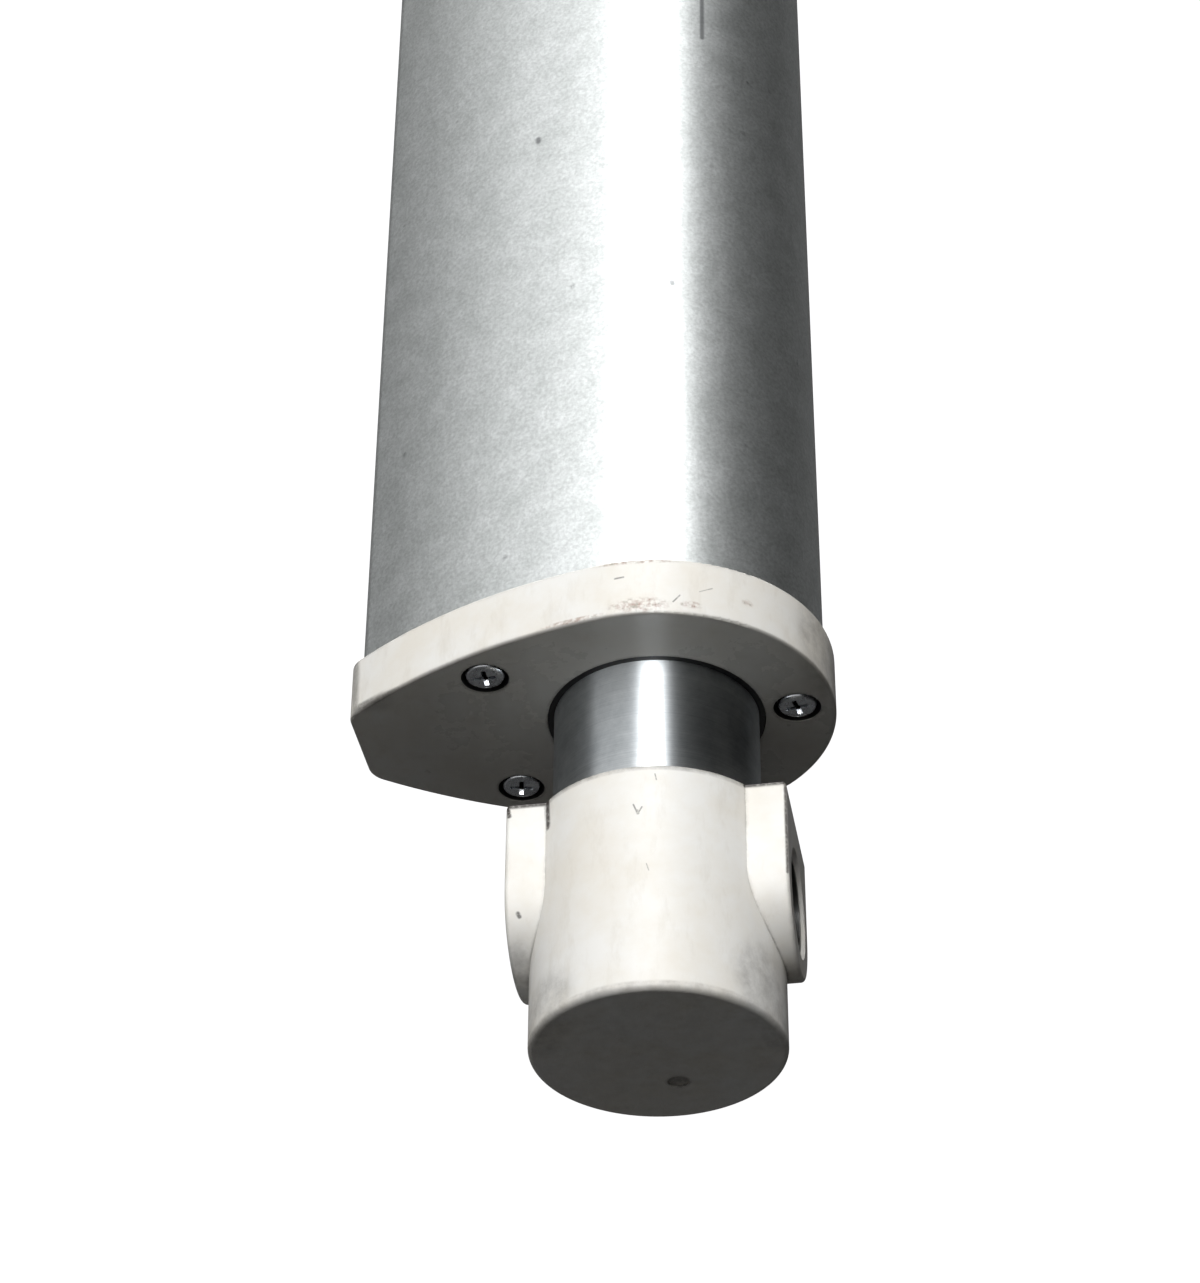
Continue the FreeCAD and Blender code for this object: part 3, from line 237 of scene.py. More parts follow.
def card(name, grey, centre, across, along):
    """Flat card given by its centre and its two half sides, seen by light but not by the camera."""
    corners = [(-1, -1), (1, -1), (1, 1), (-1, 1)]
    spots = [Vector(centre) + Vector(across) * a + Vector(along) * b for a, b in corners]
    mesh = bpy.data.meshes.new(name)
    mesh.from_pydata(spots, [], [(0, 1, 2, 3)])
    made = bpy.data.materials.new(name + "_paper")
    made.use_nodes = True
    shader = made.node_tree.nodes["Principled BSDF"]
    plug(made.node_tree, shader, {"Base Color": linear(grey), "Roughness": 1.0})
    mesh.materials.append(made)
    stand = bpy.data.objects.new(name, mesh)
    stand.visible_camera = False
    stand.visible_shadow = False
    studio.objects.link(stand)


card("right_card", "#2E2E2E", (0.45, 0.3, 0.35), (0.0, 1.6, 0.0), (0.0, 0.0, 0.75))
card("left_card", "#A0A0A0", (-0.45, 0.3, -0.08), (0.0, 1.6, 0.0), (0.0, 0.0, 0.34))
card("low_card", "#4A4A4A", (0.0, 0.0, -0.30), (0.45, 0.0, 0.0), (0.0, 1.6, 0.0))
card("front_card", "#505050", (0.0, -1.15, 0.1), (0.8, 0.0, 0.0), (0.0, 0.0, 0.55))

# %% [markdown]
# ## Single marks
# Wear is what makes a material look used, and much of it is single marks. A spot is a soft-edged
# ellipsoid, a scratch is a soft line between two points, and a pocket is a box with a nearly sharp
# edge. All are given in the object's own millimetres, so they stay put in any view. Each is a mask,
# a number from 0 to 1 that later mixes one colour over another.

# %% Single marks
# sockets of the Mix node in its colour mode
MASK, BELOW, ABOVE, BLENDED = 0, 6, 7, 2
FALLING = {"To Min": 1.0, "To Max": 0.0}
# share of a mark's size that is at full strength
SPOT_CORE, LINE_CORE, POCKET_CORE = 0.45, 0.4, 0.94
finishes = {}


def start(slot, name):
    """New finish for a slot: its node tree, its shader and the object's own coordinates."""
    made = bpy.data.materials.new(name)
    made.use_nodes = True
    finishes[slot] = made
    tree = made.node_tree
    return tree, tree.nodes["Principled BSDF"], add(tree, "TexCoord").outputs["Object"]


def together(tree, masks):
    """One mask that is as strong as the strongest of several."""
    mask = masks[0]
    for other in masks[1:]:
        mask = add(tree, "Math", {0: mask, 1: other}, operation="MAXIMUM").outputs[0]
    return mask


def in_half_sizes(tree, place, centre, half):
    """Distance from a centre along each axis, counted in half sizes; both are in millimetres."""
    offset = add(tree, "VectorMath", {0: place, 1: [c * MM for c in centre]}, operation="SUBTRACT")
    inverse = [1.0 / (h * MM) for h in half]
    shrunk = add(tree, "VectorMath", {0: offset.outputs[0], 1: inverse}, operation="MULTIPLY")
    return shrunk.outputs[0]


def spot(tree, place, centre, half):
    """Mask of one soft-edged ellipsoid."""
    shrunk = in_half_sizes(tree, place, centre, half)
    length = add(tree, "VectorMath", {0: shrunk}, operation="LENGTH").outputs["Value"]
    soft = {**FALLING, "Value": length, "From Min": SPOT_CORE, "From Max": 1.0}
    return add(tree, "MapRange", soft, interpolation_type="SMOOTHSTEP").outputs[0]


# pockets are used below to paint shade black into hollows
def pocket(tree, place, centre, half):
    """Mask of one box with a nearly sharp edge."""
    shrunk = in_half_sizes(tree, place, centre, half)
    outward = add(tree, "VectorMath", {0: shrunk}, operation="ABSOLUTE").outputs[0]
    furthest = together(tree, list(add(tree, "SeparateXYZ", {0: outward}).outputs))
    sharp = {**FALLING, "Value": furthest, "From Min": POCKET_CORE, "From Max": 1.0}
    return add(tree, "MapRange", sharp).outputs[0]


def scratch(tree, place, first, last, radius):
    """Mask of one soft line between two points, in millimetres."""
    first, last = Vector(first) * MM, Vector(last) * MM
    run = last - first
    offset = add(tree, "VectorMath", {0: place, 1: first}, operation="SUBTRACT").outputs[0]
    share = add(tree, "VectorMath", {0: offset, 1: run / run.length_squared},
                operation="DOT_PRODUCT")
    share = add(tree, "Clamp", {"Value": share.outputs["Value"]})
    foot = add(tree, "VectorMath", {0: run, "Scale": share.outputs[0]}, operation="SCALE")
    gap = add(tree, "VectorMath", {0: offset, 1: foot.outputs[0]}, operation="DISTANCE")
    soft = {**FALLING, "Value": gap.outputs["Value"],
            "From Min": LINE_CORE * radius * MM, "From Max": radius * MM}
    return add(tree, "MapRange", soft).outputs[0]


print("marks: spot, pocket, scratch")

# %% [markdown]
# ## Broken masks and edges
# Noise breaks up what would look too neat. Edges wear first, and an edge can be found without
# painting it: a bevel node gives the normal of a rounded copy of the surface, and near an edge
# that normal leans away from the true one.

# %% Broken masks and edges
BEVEL_SAMPLES = 4


def broken(tree, mask, place, size_mm, low, high):
    """A mask broken up by noise, as dirt and rubs are; it is full where the noise is above high."""
    cloud = add(tree, "TexNoise", {"Vector": place, "Scale": per(size_mm), "Detail": 5.0,
                                   "Roughness": 0.7})
    patch = add(tree, "MapRange", {"Value": cloud.outputs[0], "From Min": low, "From Max": high})
    return add(tree, "Math", {0: mask, 1: patch.outputs[0]}, operation="MULTIPLY").outputs[0]


def edge_lean(tree, radius_mm):
    """How far the rounded normal leans away: 0 on flat ground, growing towards an edge."""
    rounded = add(tree, "Bevel", {"Radius": radius_mm * MM}, samples=BEVEL_SAMPLES).outputs[0]
    true = add(tree, "NewGeometry").outputs["Normal"]
    along = add(tree, "VectorMath", {0: rounded, 1: true}, operation="DOT_PRODUCT")
    return add(tree, "Math", {0: 1.0, 1: along.outputs["Value"]}, operation="SUBTRACT").outputs[0]


print("broken masks, and edges from", BEVEL_SAMPLES, "bevel samples")

# %% [markdown]
# ## Anodised aluminium
# The tube is an extrusion, etched to an even satin and anodised clear. Close up it is a fine grain,
# with cloudy stains from handling, a few dark specks and a short scratch. Grain of a hundredth of a
# millimetre can't show at this distance, so it is drawn at about half a millimetre. The grain also
# makes the surface rough, which spreads the lamp into a broad soft band along the tube.

# %% Anodised aluminium
ALUMINIUM, SCRATCH_GREY = ("#BFC3C2", "#D3D6D6"), "#5C5D60"
CLOUD_MM, GRAIN_MM, SPECK_MM, SPECK_EDGE_MM = 5.0, 0.6, 6.0, 0.5
GRAIN_DEPTH = 0.04 * MM
SATIN = (0.42, 0.45)
SCRATCH_STRENGTH = 0.7
# the levels between which nearly all of a noise texture lies
NOISE_SPAN = {"From Min": 0.3, "From Max": 0.7}
# ends and radius
TUBE_SCRATCHES = [
    ((11.4, -205.0, 22.0), (11.3, -218.0, 22.1), 0.5),
    ((6.3, -272.0, 24.0), (6.4, -272.4, 24.0), 0.6),
    ((-15.4, -236.2, 21.9), (-15.3, -236.7, 21.9), 0.7),
    ((-30.0, -232.0, 18.6), (-29.6, -231.6, 18.7), 0.7),
    ((-27.0, -229.3, 19.5), (-26.8, -229.9, 19.5), 0.6),
]

tree, shader, place = start("anodised_aluminium", "satin_anodised_aluminium")
rich = {"Vector": place, "Roughness": 0.75}
clouds = add(tree, "TexNoise", {**rich, "Scale": per(CLOUD_MM), "Detail": 8.0}).outputs[0]
grain = add(tree, "TexNoise", {**rich, "Scale": per(GRAIN_MM), "Detail": 4.0}).outputs[0]
cloudy = add(tree, "MapRange", {**NOISE_SPAN, "Value": clouds})
silver = add(tree, "Mix", {MASK: cloudy.outputs[0], BELOW: linear(ALUMINIUM[0]),
                           ABOVE: linear(ALUMINIUM[1])}, data_type="RGBA")
speckle = add(tree, "MapRange", {"Value": grain, "From Min": 0.36, "From Max": 0.64,
                                 "To Min": 0.84, "To Max": 1.12})
speckled = add(tree, "VectorMath", {0: silver.outputs[BLENDED], "Scale": speckle.outputs[0]},
               operation="SCALE")
pits = add(tree, "TexVoronoi", {"Vector": place, "Scale": per(SPECK_MM)}).outputs
pit = add(tree, "MapRange", {**FALLING, "Value": pits["Distance"],
                             "From Min": 0.03, "From Max": 0.10})
chosen = add(tree, "MapRange", {"Value": pits["Color"], "From Min": 0.55, "From Max": 0.75})
specks = add(tree, "Math", {0: pit.outputs[0], 1: chosen.outputs[0]}, operation="MULTIPLY")
ragged = broken(tree, specks.outputs[0], place, SPECK_EDGE_MM, 0.30, 0.60)
dark = together(tree, [ragged] + [scratch(tree, place, *ends) for ends in TUBE_SCRATCHES])
faint = add(tree, "Math", {0: dark, 1: SCRATCH_STRENGTH}, operation="MULTIPLY")
worn = add(tree, "Mix", {MASK: faint.outputs[0], BELOW: speckled.outputs[0],
                         ABOVE: linear(SCRATCH_GREY)}, data_type="RGBA")
satin = add(tree, "MapRange", {**NOISE_SPAN, "Value": clouds,
                               "To Min": SATIN[0], "To Max": SATIN[1]})
relief = add(tree, "Bump", {"Height": grain, "Strength": 0.5, "Distance": GRAIN_DEPTH})
plug(tree, shader, {"Base Color": worn.outputs[BLENDED], "Metallic": 1.0,
                    "Roughness": satin.outputs[0], "Normal": relief.outputs[0]})
print("anodised aluminium:", len(TUBE_SCRATCHES), "single scratches")

# %% [markdown]
# ## Wear and painted shade on the plastic
# The marks were read off the photograph and placed on the surface under them. The cap's rim has
# brown rubs, and its face is greyed with painted shade and made glossier by oil from the rod. The
# screw pockets and the hole for the rod are painted black as shade. Smears darken the head's sides
# and corners and the ends of the rim, partly as dirt and partly as painted shade, and a few fine
# lines and nicks are scratched into both; the darker lines along the pads' edges are partly painted
# shade.

# %% Places of wear and painted shade on the plastic
# centre and half sizes
RUBS = [
    ((1.6, -334.5, 26.1), (5.4, 1.6, 1.4)),
    ((-8.0, -335.4, 25.0), (7.5, 0.5, 2.2)),
    ((8.8, -334.3, 24.8), (2.4, 0.8, 1.0)),
    ((1.5, -326.8, 26.0), (7.5, 0.5, 1.6)),
    ((16.2, -331.9, 20.7), (1.1, 0.8, 1.2)),
]
CAP_SCREWS = [(20.7, 0.0), (-22.8, 14.25), (-22.8, -14.25)]
# the screw pockets and the rod's hole are painted black: painted shade in the hollows
POCKETS = [((x, -333.9, z), (3.9, 2.0, 3.9)) for x, z in CAP_SCREWS]
POCKETS.append(((0.0, -333.9, 0.0), (17.2, 2.0, 17.2)))
# smears on the head's end fillet, the edge behind the pads, the head's sides and the rim's ends:
# partly dirt, partly painted shade
SIDE_DIRT_AND_SHADE = [
    ((0.0, -391.3, 0.0), (60.0, 0.9, 60.0)),
    ((0.0, -356.5, 0.0), (60.0, 0.6, 60.0)),
    ((-13.8, -389.0, 11.0), (7.5, 5.5, 9.0)),
    ((15.5, -387.0, 8.0), (6.0, 8.0, 9.0)),
    ((-18.5, -380.0, 5.0), (3.0, 7.0, 5.0)),
    ((-15.5, -391.2, 7.5), (4.0, 2.6, 8.0)),
    ((16.8, -390.8, 3.0), (3.5, 3.0, 8.0)),
    ((-43.8, -331.0, 8.0), (1.8, 7.0, 3.0)),
    ((-40.5, -335.5, 11.0), (6.0, 0.9, 4.0)),
    ((25.5, -331.5, 7.5), (5.5, 8.5, 11.5)),
]
# ends, radius and strength
FAINT_LINES = [
    ((-1.9, -329.5, 26.2), (-0.7, -329.4, 26.3), 0.20, 0.7),
    ((6.3, -334.0, 25.5), (7.2, -332.8, 25.2), 0.18, 0.7),
    ((9.9, -331.8, 24.3), (11.6, -330.9, 23.6), 0.13, 0.5),
    ((-0.6, -362.5, 17.9), (-0.1, -363.8, 17.9), 0.16, 0.7),
    ((0.6, -363.0, 17.9), (0.1, -363.9, 17.9), 0.16, 0.7),
    ((2.4, -357.6, 17.7), (2.6, -358.6, 17.7), 0.13, 0.6),
    ((1.2, -372.3, 17.9), (1.5, -373.4, 17.8), 0.11, 0.5),
    ((-18.0, -373.7, 10.2), (-17.8, -374.1, 10.0), 0.40, 0.9),
    # the next five darken the pads' edges and the corner beside the rod: partly grime, partly
    # painted shade of their shaded sides
    ((-19.7, -356.4, 11.0), (-14.0, -356.4, 11.0), 0.50, 1.0),
    ((-19.7, -356.4, 11.0), (-19.4, -358.0, 11.0), 0.45, 1.0),
    ((-13.9, -356.3, 11.3), (-13.7, -360.6, 11.5), 0.75, 1.0),
    ((13.8, -356.4, 11.0), (19.7, -356.4, 11.0), 0.40, 1.0),
    ((19.7, -356.4, 10.8), (19.7, -371.0, 10.8), 0.35, 0.8),
    ((-0.05, -363.6, 17.9), (0.05, -364.0, 17.9), 0.30, 0.6),
    ((1.1, -391.7, -7.6), (2.1, -391.7, -7.6), 1.50, 0.5),
    ((-43.6, -326.9, 8.4), (-43.3, -335.2, 8.7), 1.10, 0.4),
    ((-43.2, -335.2, 8.8), (-36.0, -336.3, 14.1), 0.80, 0.6),
]
# a sheet over the cap's face: its grey is painted shade of the face that turns from the lamps, and
# its oil makes the face glossier
OIL_FILM_AND_SHADE = ((-4.0, -336.2, 0.0), (62.0, 0.9, 46.0))
print("wear:", len(RUBS), "rubs,", len(SIDE_DIRT_AND_SHADE), "smears,", len(FAINT_LINES), "lines")

# %% [markdown]
# ## Masks for the moulded plastic
# The cap, the rod head and the gearbox are moulded in off-white ABS. Dirt has run over it in faint
# streaks, and its edges are grey with handling: a wide faint grey and a narrow strong one. These
# masks and the single marks are made first, and the next step mixes the colours with them.

# %% Masks for the moulded plastic
STREAK_MM, STREAK_PULL = 3.0, (1.0, 0.3, 1.0)
FILM_AND_SHADE_STRENGTH, DIRT_AND_SHADE_STRENGTH = 0.6, 0.50
EDGE_MM = 1.0
WIDE_EDGE = {"From Min": 0.005, "From Max": 0.10, "To Max": 0.40}
NARROW_EDGE = {"From Min": 0.10, "From Max": 0.25, "To Max": 0.75}

tree, shader, place = start("white_plastic", "off_white_moulded_abs")
pulled = add(tree, "Mapping", {"Vector": place, "Scale": STREAK_PULL}).outputs[0]
streaks = add(tree, "TexNoise", {"Vector": pulled, "Scale": per(STREAK_MM), "Detail": 5.0,
                                 "Roughness": 0.7})
streaky = add(tree, "MapRange", {"Value": streaks.outputs[0], "From Min": 0.52, "From Max": 0.80,
                                 "To Max": 0.34}).outputs[0]
oil_film_and_shade = add(tree, "Math", {0: spot(tree, place, *OIL_FILM_AND_SHADE), 1: FILM_AND_SHADE_STRENGTH},
           operation="MULTIPLY").outputs[0]
rubs = together(tree, [spot(tree, place, *size) for size in RUBS])
# mask of the painted shade in the screw pockets and the rod's hole
pocket_shade = together(tree, [pocket(tree, place, *size) for size in POCKETS])
lean = edge_lean(tree, EDGE_MM)
wide = add(tree, "MapRange", {**WIDE_EDGE, "Value": lean}).outputs[0]
narrow = add(tree, "MapRange", {**NARROW_EDGE, "Value": lean}).outputs[0]
lines = []
for first, last, radius, strength in FAINT_LINES:
    line = scratch(tree, place, first, last, radius)
    line = add(tree, "Math", {0: line, 1: strength}, operation="MULTIPLY")
    lines.append(line.outputs[0])
nicks_and_shade_lines = together(tree, lines)
sides = together(tree, [spot(tree, place, *size) for size in SIDE_DIRT_AND_SHADE])
dirt_and_shade_smears = add(tree, "Math", {0: sides, 1: DIRT_AND_SHADE_STRENGTH}, operation="MULTIPLY").outputs[0]
print("masks for the plastic:", len(tree.nodes), "nodes")

# %% [markdown]
# ## Off-white moulded plastic
# ABS from a spark-eroded mould has a fine matt skin, with a grain of about a quarter of a
# millimetre. Here it has yellowed a little in patches. Each layer of wear or painted shade is mixed
# over the one before, and most are broken up by noise of the size that such marks have. Oil makes
# the cap's face smoother, so it takes some of the roughness away; the grey laid on that face is
# painted shade.

# %% Off-white moulded plastic
PLASTIC = ("#E9E8E4", "#E3DFD6")
STREAK, FACE_SHADE_GREY = "#BFB7A8", "#8F8C86"
RUB_BROWN, RUB_OLIVE = "#8C6250", "#6F6B52"
GRIME_AND_SHADE, NICK_AND_SHADE_DARK, POCKET_SHADE_BLACK = "#4A4239", "#332E29", "#141210"
YELLOW_MM, SKIN_MM = 13.0, 0.25
SKIN_DEPTH = 0.02 * MM
MATT = (0.42, 0.56)
OIL_SHINE = -0.36
ABS_IOR = 1.53

clouds = add(tree, "TexNoise", {"Vector": place, "Scale": per(YELLOW_MM), "Detail": 6.0,
                                "Roughness": 0.66}).outputs[0]
yellowed = add(tree, "MapRange", {"Value": clouds, "From Min": 0.40, "From Max": 0.66})
coat = add(tree, "Mix", {MASK: yellowed.outputs[0], BELOW: linear(PLASTIC[0]),
                         ABOVE: linear(PLASTIC[1])}, data_type="RGBA").outputs[BLENDED]
# mask and colour; a broken mask also has the noise's size and the levels where it starts and fills
layers = [
    (streaky, STREAK),
    # grey over the cap's face: painted shade
    (oil_film_and_shade, FACE_SHADE_GREY),
    (broken(tree, rubs, place, 0.9, 0.44, 0.72), RUB_BROWN),
    (broken(tree, rubs, place, 0.7, 0.52, 0.76), RUB_OLIVE),
    (broken(tree, wide, place, 4.0, 0.44, 0.66), GRIME_AND_SHADE),
    (broken(tree, narrow, place, 5.0, 0.38, 0.58), GRIME_AND_SHADE),
    # the smears are partly dirt and partly painted shade; the two edge layers above are grime
    (broken(tree, dirt_and_shade_smears, place, 2.2, 0.24, 0.80), GRIME_AND_SHADE),
    (pocket_shade, POCKET_SHADE_BLACK),
    (broken(tree, nicks_and_shade_lines, place, 0.4, 0.24, 0.50), NICK_AND_SHADE_DARK),
]
for mask, colour in layers:
    coat = add(tree, "Mix", {MASK: mask, BELOW: coat, ABOVE: linear(colour)},
               data_type="RGBA").outputs[BLENDED]
skin = add(tree, "TexNoise", {"Vector": place, "Scale": per(SKIN_MM), "Detail": 2.0})
relief = add(tree, "Bump", {"Height": skin.outputs[0], "Strength": 0.12, "Distance": SKIN_DEPTH})
matt = add(tree, "MapRange", {**NOISE_SPAN, "Value": clouds, "To Min": MATT[0], "To Max": MATT[1]})
oiled = add(tree, "Math", {0: oil_film_and_shade, 1: OIL_SHINE, 2: matt.outputs[0]}, operation="MULTIPLY_ADD")
plug(tree, shader, {"Base Color": coat, "Roughness": oiled.outputs[0], "IOR": ABS_IOR,
                    "Normal": relief.outputs[0]})
print("off-white plastic:", len(layers), "layers of wear,", len(tree.nodes), "nodes")

# %% [markdown]
# ## Bright turned rod
# The rod is turned, then polished, so very fine rings run round it. They scatter light along the
# rod but hardly round it: the lamp becomes a bright stripe that runs the whole length. A tangent
# that runs round the rod gives the shader that direction. The rings are some hundredths of a
# millimetre apart, and are drawn a quarter of a millimetre apart so that a few show. Wider bands
# come from where the polishing belt stopped and turned, and handling has left a few stains.

# %% Bright turned rod
ROD_STEEL = ("#ACB2B6", "#D6DADC")
RING_MM, BAND_MM, STAIN_MM = 0.25, 4.0, 2.5
RING_DEPTH = 0.01 * MM
POLISH = (0.46, 0.40)
# share of the rings and of the bands next to the stains
RING_SHARE, BAND_SHARE = 0.5, 0.5
STREAKED, QUARTER_TURN = 0.95, 0.25

tree, shader, place = start("bright_rod", "turned_bright_steel")
along = add(tree, "SeparateXYZ", {0: place}).outputs["Y"]
rings = add(tree, "TexNoise", {"W": along, "Scale": per(RING_MM), "Detail": 4.0},
            noise_dimensions="1D").outputs[0]
bands = add(tree, "TexNoise", {"W": along, "Scale": per(BAND_MM), "Detail": 3.0},
            noise_dimensions="1D").outputs[0]
stains = add(tree, "TexNoise", {"Vector": place, "Scale": per(STAIN_MM), "Detail": 7.0,
                                "Roughness": 0.75}).outputs[0]
both = add(tree, "Math", {0: bands, 1: BAND_SHARE, 2: stains}, operation="MULTIPLY_ADD").outputs[0]
every = add(tree, "Math", {0: rings, 1: RING_SHARE, 2: both}, operation="MULTIPLY_ADD")
shade = add(tree, "MapRange", {"Value": every.outputs[0], "From Min": 0.60, "From Max": 1.35})
tone = add(tree, "Mix", {MASK: shade.outputs[0], BELOW: linear(ROD_STEEL[0]),
                         ABOVE: linear(ROD_STEEL[1])}, data_type="RGBA")
polish = add(tree, "MapRange", {"Value": both, "From Min": 0.5, "From Max": 1.0,
                                "To Min": POLISH[0], "To Max": POLISH[1]})
relief = add(tree, "Bump", {"Height": rings, "Strength": 0.10, "Distance": RING_DEPTH})
around = add(tree, "Tangent", direction_type="RADIAL", axis="Y")
plug(tree, shader, {"Base Color": tone.outputs[BLENDED], "Metallic": 1.0,
                    "Roughness": polish.outputs[0], "Anisotropic": STREAKED,
                    "Anisotropic Rotation": QUARTER_TURN, "Tangent": around.outputs[0],
                    "Normal": relief.outputs[0]})
print("turned rod:", len(tree.nodes), "nodes")

# %% [markdown]
# ## Finishes of the smaller and inner pieces
# Each inner piece has one clear finish: plated, ground, cast, sintered, wound, pressed or moulded.
# They share a recipe, in which a cloudy tone between two colours, a roughness that varies and a
# small relief all come from the size of the real grain. Only the numbers differ, so one table
# holds them and one function makes them.

# %% Recipe for the inner finishes
RELIEF_STRENGTH = 0.3


def worked_surface(slot, name, tones, metallic, roughness, grain_mm, relief_mm, pockets=()):
    """Finish with a tone, a roughness and a relief that follow the grain, with painted black shade
    in its pockets.
    """
    tree, shader, place = start(slot, name)
    grain = add(tree, "TexNoise", {"Vector": place, "Scale": per(grain_mm), "Detail": 5.0,
                                   "Roughness": 0.6}).outputs[0]
    spread = add(tree, "MapRange", {**NOISE_SPAN, "Value": grain})
    tone = add(tree, "Mix", {MASK: spread.outputs[0], BELOW: linear(tones[0]),
                             ABOVE: linear(tones[1])}, data_type="RGBA").outputs[BLENDED]
    for size in pockets:
        tone = add(tree, "Mix", {MASK: pocket(tree, place, *size), BELOW: tone,
                                 ABOVE: linear(POCKET_SHADE_BLACK)}, data_type="RGBA").outputs[BLENDED]
    gloss = add(tree, "MapRange", {**NOISE_SPAN, "Value": grain,
                                   "To Min": roughness[0], "To Max": roughness[1]})
    relief = add(tree, "Bump", {"Height": grain, "Strength": RELIEF_STRENGTH,
                                "Distance": relief_mm * MM})
    plug(tree, shader, {"Base Color": tone, "Metallic": metallic,
                        "Roughness": gloss.outputs[0], "Normal": relief.outputs[0]})


print("recipe: grain, tone, gloss and relief")

# %% [markdown]
# ## Table of the inner finishes
# Each row starts from what the material is and how its surface was made, and the comment above it
# says what that gives the eye. Two hollow places that would otherwise shine are painted black as
# shade: the crosses of the cap's screws and the bush in the rod's head.

# %% Inner finishes
METAL, NOT_METAL = 1.0, 0.0
# the crosses lie a little behind the tops of the heads
# their recesses are painted black there: painted shade
CROSSES = [((x, -333.35, z), (3.9, 1.95, 3.9)) for x, z in CAP_SCREWS]
# the bush in the rod's head is painted black: painted shade
HEAD_BORE = ((0.0, -369.5, 0.0), (20.5, 6.8, 6.8))
# slot, name, darker and lighter tone, metal or not, roughness range,
# grain and relief in millimetres, pockets
INNER = [
    # zinc plate over steel: bright and slightly blue, cloudy, with painted black shade in the
    # crosses
    ("zinc_screw", "zinc_plated_steel", ("#C4C8CD", "#E4E6E8"), METAL, (0.22, 0.34),
     1.2, 0.01, CROSSES),
    # nitrile rubber: nearly black, and half glossy with oil from the rod
    ("black_rubber", "nitrile_rubber", ("#040404", "#0C0C0C"), NOT_METAL, (0.26, 0.40),
     0.8, 0.02),
    # natural acetal: milky and waxy, with a soft gloss, and painted black shade in the head's bush
    ("acetal", "natural_acetal", ("#DAD8CF", "#EAE8E0"), NOT_METAL, (0.30, 0.42),
     6.0, 0.02, [HEAD_BORE]),
    # ground steel: grey and even, with fine grinding marks
    ("ground_steel", "ground_steel", ("#9A9C9E", "#C0C2C3"), METAL, (0.22, 0.36),
     0.6, 0.01),
    # die-cast zinc alloy, tumbled: grey, pebbled and half dull
    ("cast_alloy", "tumbled_die_casting", ("#8B8D8F", "#B0B2B3"), METAL, (0.42, 0.58),
     1.4, 0.08),
    # sintered bronze: warm, porous and oily
    ("bronze", "sintered_bronze", ("#7E5A30", "#B48A52"), METAL, (0.35, 0.55),
     0.4, 0.03),
    # drawn motor steel: grey and slightly oily
    ("motor_steel", "drawn_motor_steel", ("#77797B", "#9A9C9D"), METAL, (0.32, 0.48),
     2.0, 0.01),
    # enamelled copper: orange brown, glossy along the wires
    ("copper", "enamelled_copper", ("#8A4420", "#C8763C"), METAL, (0.25, 0.45),
     0.5, 0.10),
    # pressed ferrite and graphite: charcoal and dull
    ("ferrite", "pressed_ferrite", ("#232325", "#363638"), NOT_METAL, (0.6, 0.8),
     0.7, 0.03),
    # black glass-filled plastic: spark-eroded and half matt
    ("black_plastic", "black_moulded_plastic", ("#151617", "#232425"), NOT_METAL, (0.42, 0.56),
     0.4, 0.02),
    # glass-fibre board under green lacquer: glossy, with the weave showing through
    ("green_board", "lacquered_board", ("#164A30", "#24694A"), NOT_METAL, (0.2, 0.35),
     1.0, 0.01),
]
for finish in INNER:
    worked_surface(*finish)
print("finishes:", sorted(finishes))

# %% [markdown]
# ## Dressing the frame
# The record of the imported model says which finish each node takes, so one loop dresses them all.
# A CAD node keeps its mesh: only the material in its slot changes.

# %% Dress the frame
slot_of = {part["node"]: part["material_slot"] for part in frame["record"]["subparts"]}
for name, slot in slot_of.items():
    nodes[name].data.materials.clear()
    nodes[name].data.materials.append(finishes[slot])
print("dressed", len(slot_of), "nodes")

# %% [markdown]
# ## Even highlights
# The CAD model arrives as one patch of triangles for each CAD face. Where one curve runs into the
# next, both patches end in the same points but with slightly different normals, and a hard line
# shows in the highlight. Three modifiers put that right and leave the mesh itself alone: weld the
# patches, split only the real corners, and weight the normals by the size of the faces.

# %% Even highlights
SAME_POINT = 0.001 * MM
CORNER = math.radians(28)
for node in nodes.values():
    node.modifiers.new("join_patches", "WELD").merge_threshold = SAME_POINT
    corners = node.modifiers.new("keep_corners", "EDGE_SPLIT")
    corners.split_angle = CORNER
    corners.use_edge_sharp = False
    node.modifiers.new("even_normals", "WEIGHTED_NORMAL").mode = "FACE_AREA"
print("even normals on", len(nodes), "nodes")

# %% [markdown]
# ## Reading the plain screws
# In the CAD model each screw is a plain solid with a head and a shank, and one node holds a whole
# set. The detailed screws must sit exactly there. A node's mesh is split into its separate solids,
# and each is measured: its axis, which end the head is at, and its head and shank sizes.

# %% Read the plain screws
SCREW_SETS = ["front_cap_screws", "gear_cover_screws", "motor_cover_screws", "tube_rear_screws",
              "motor_mount_screws"]
TOUCHING = 1e-7
# points further out than this share of the head's radius are on its edge
HEAD_EDGE = 0.95
# share of the shank, from its tip, that its radius is taken from
SHANK_SHARE = 0.5


def solids_of(node):
    """Points of each separate solid in a node's mesh."""
    whole = bmesh.new()
    whole.from_mesh(nodes[node].data)
    bmesh.ops.remove_doubles(whole, verts=whole.verts, dist=TOUCHING)
    seen = set()
    found = []
    for first in whole.verts:
        if first in seen:
            continue
        seen.add(first)
        group = [first]
        for corner in group:
            ends = [edge.other_vert(corner) for edge in corner.link_edges]
            fresh = [end for end in ends if end not in seen]
            seen.update(fresh)
            group.extend(dict.fromkeys(fresh))
        found.append([corner.co.copy() for corner in group])
    whole.free()
    return found


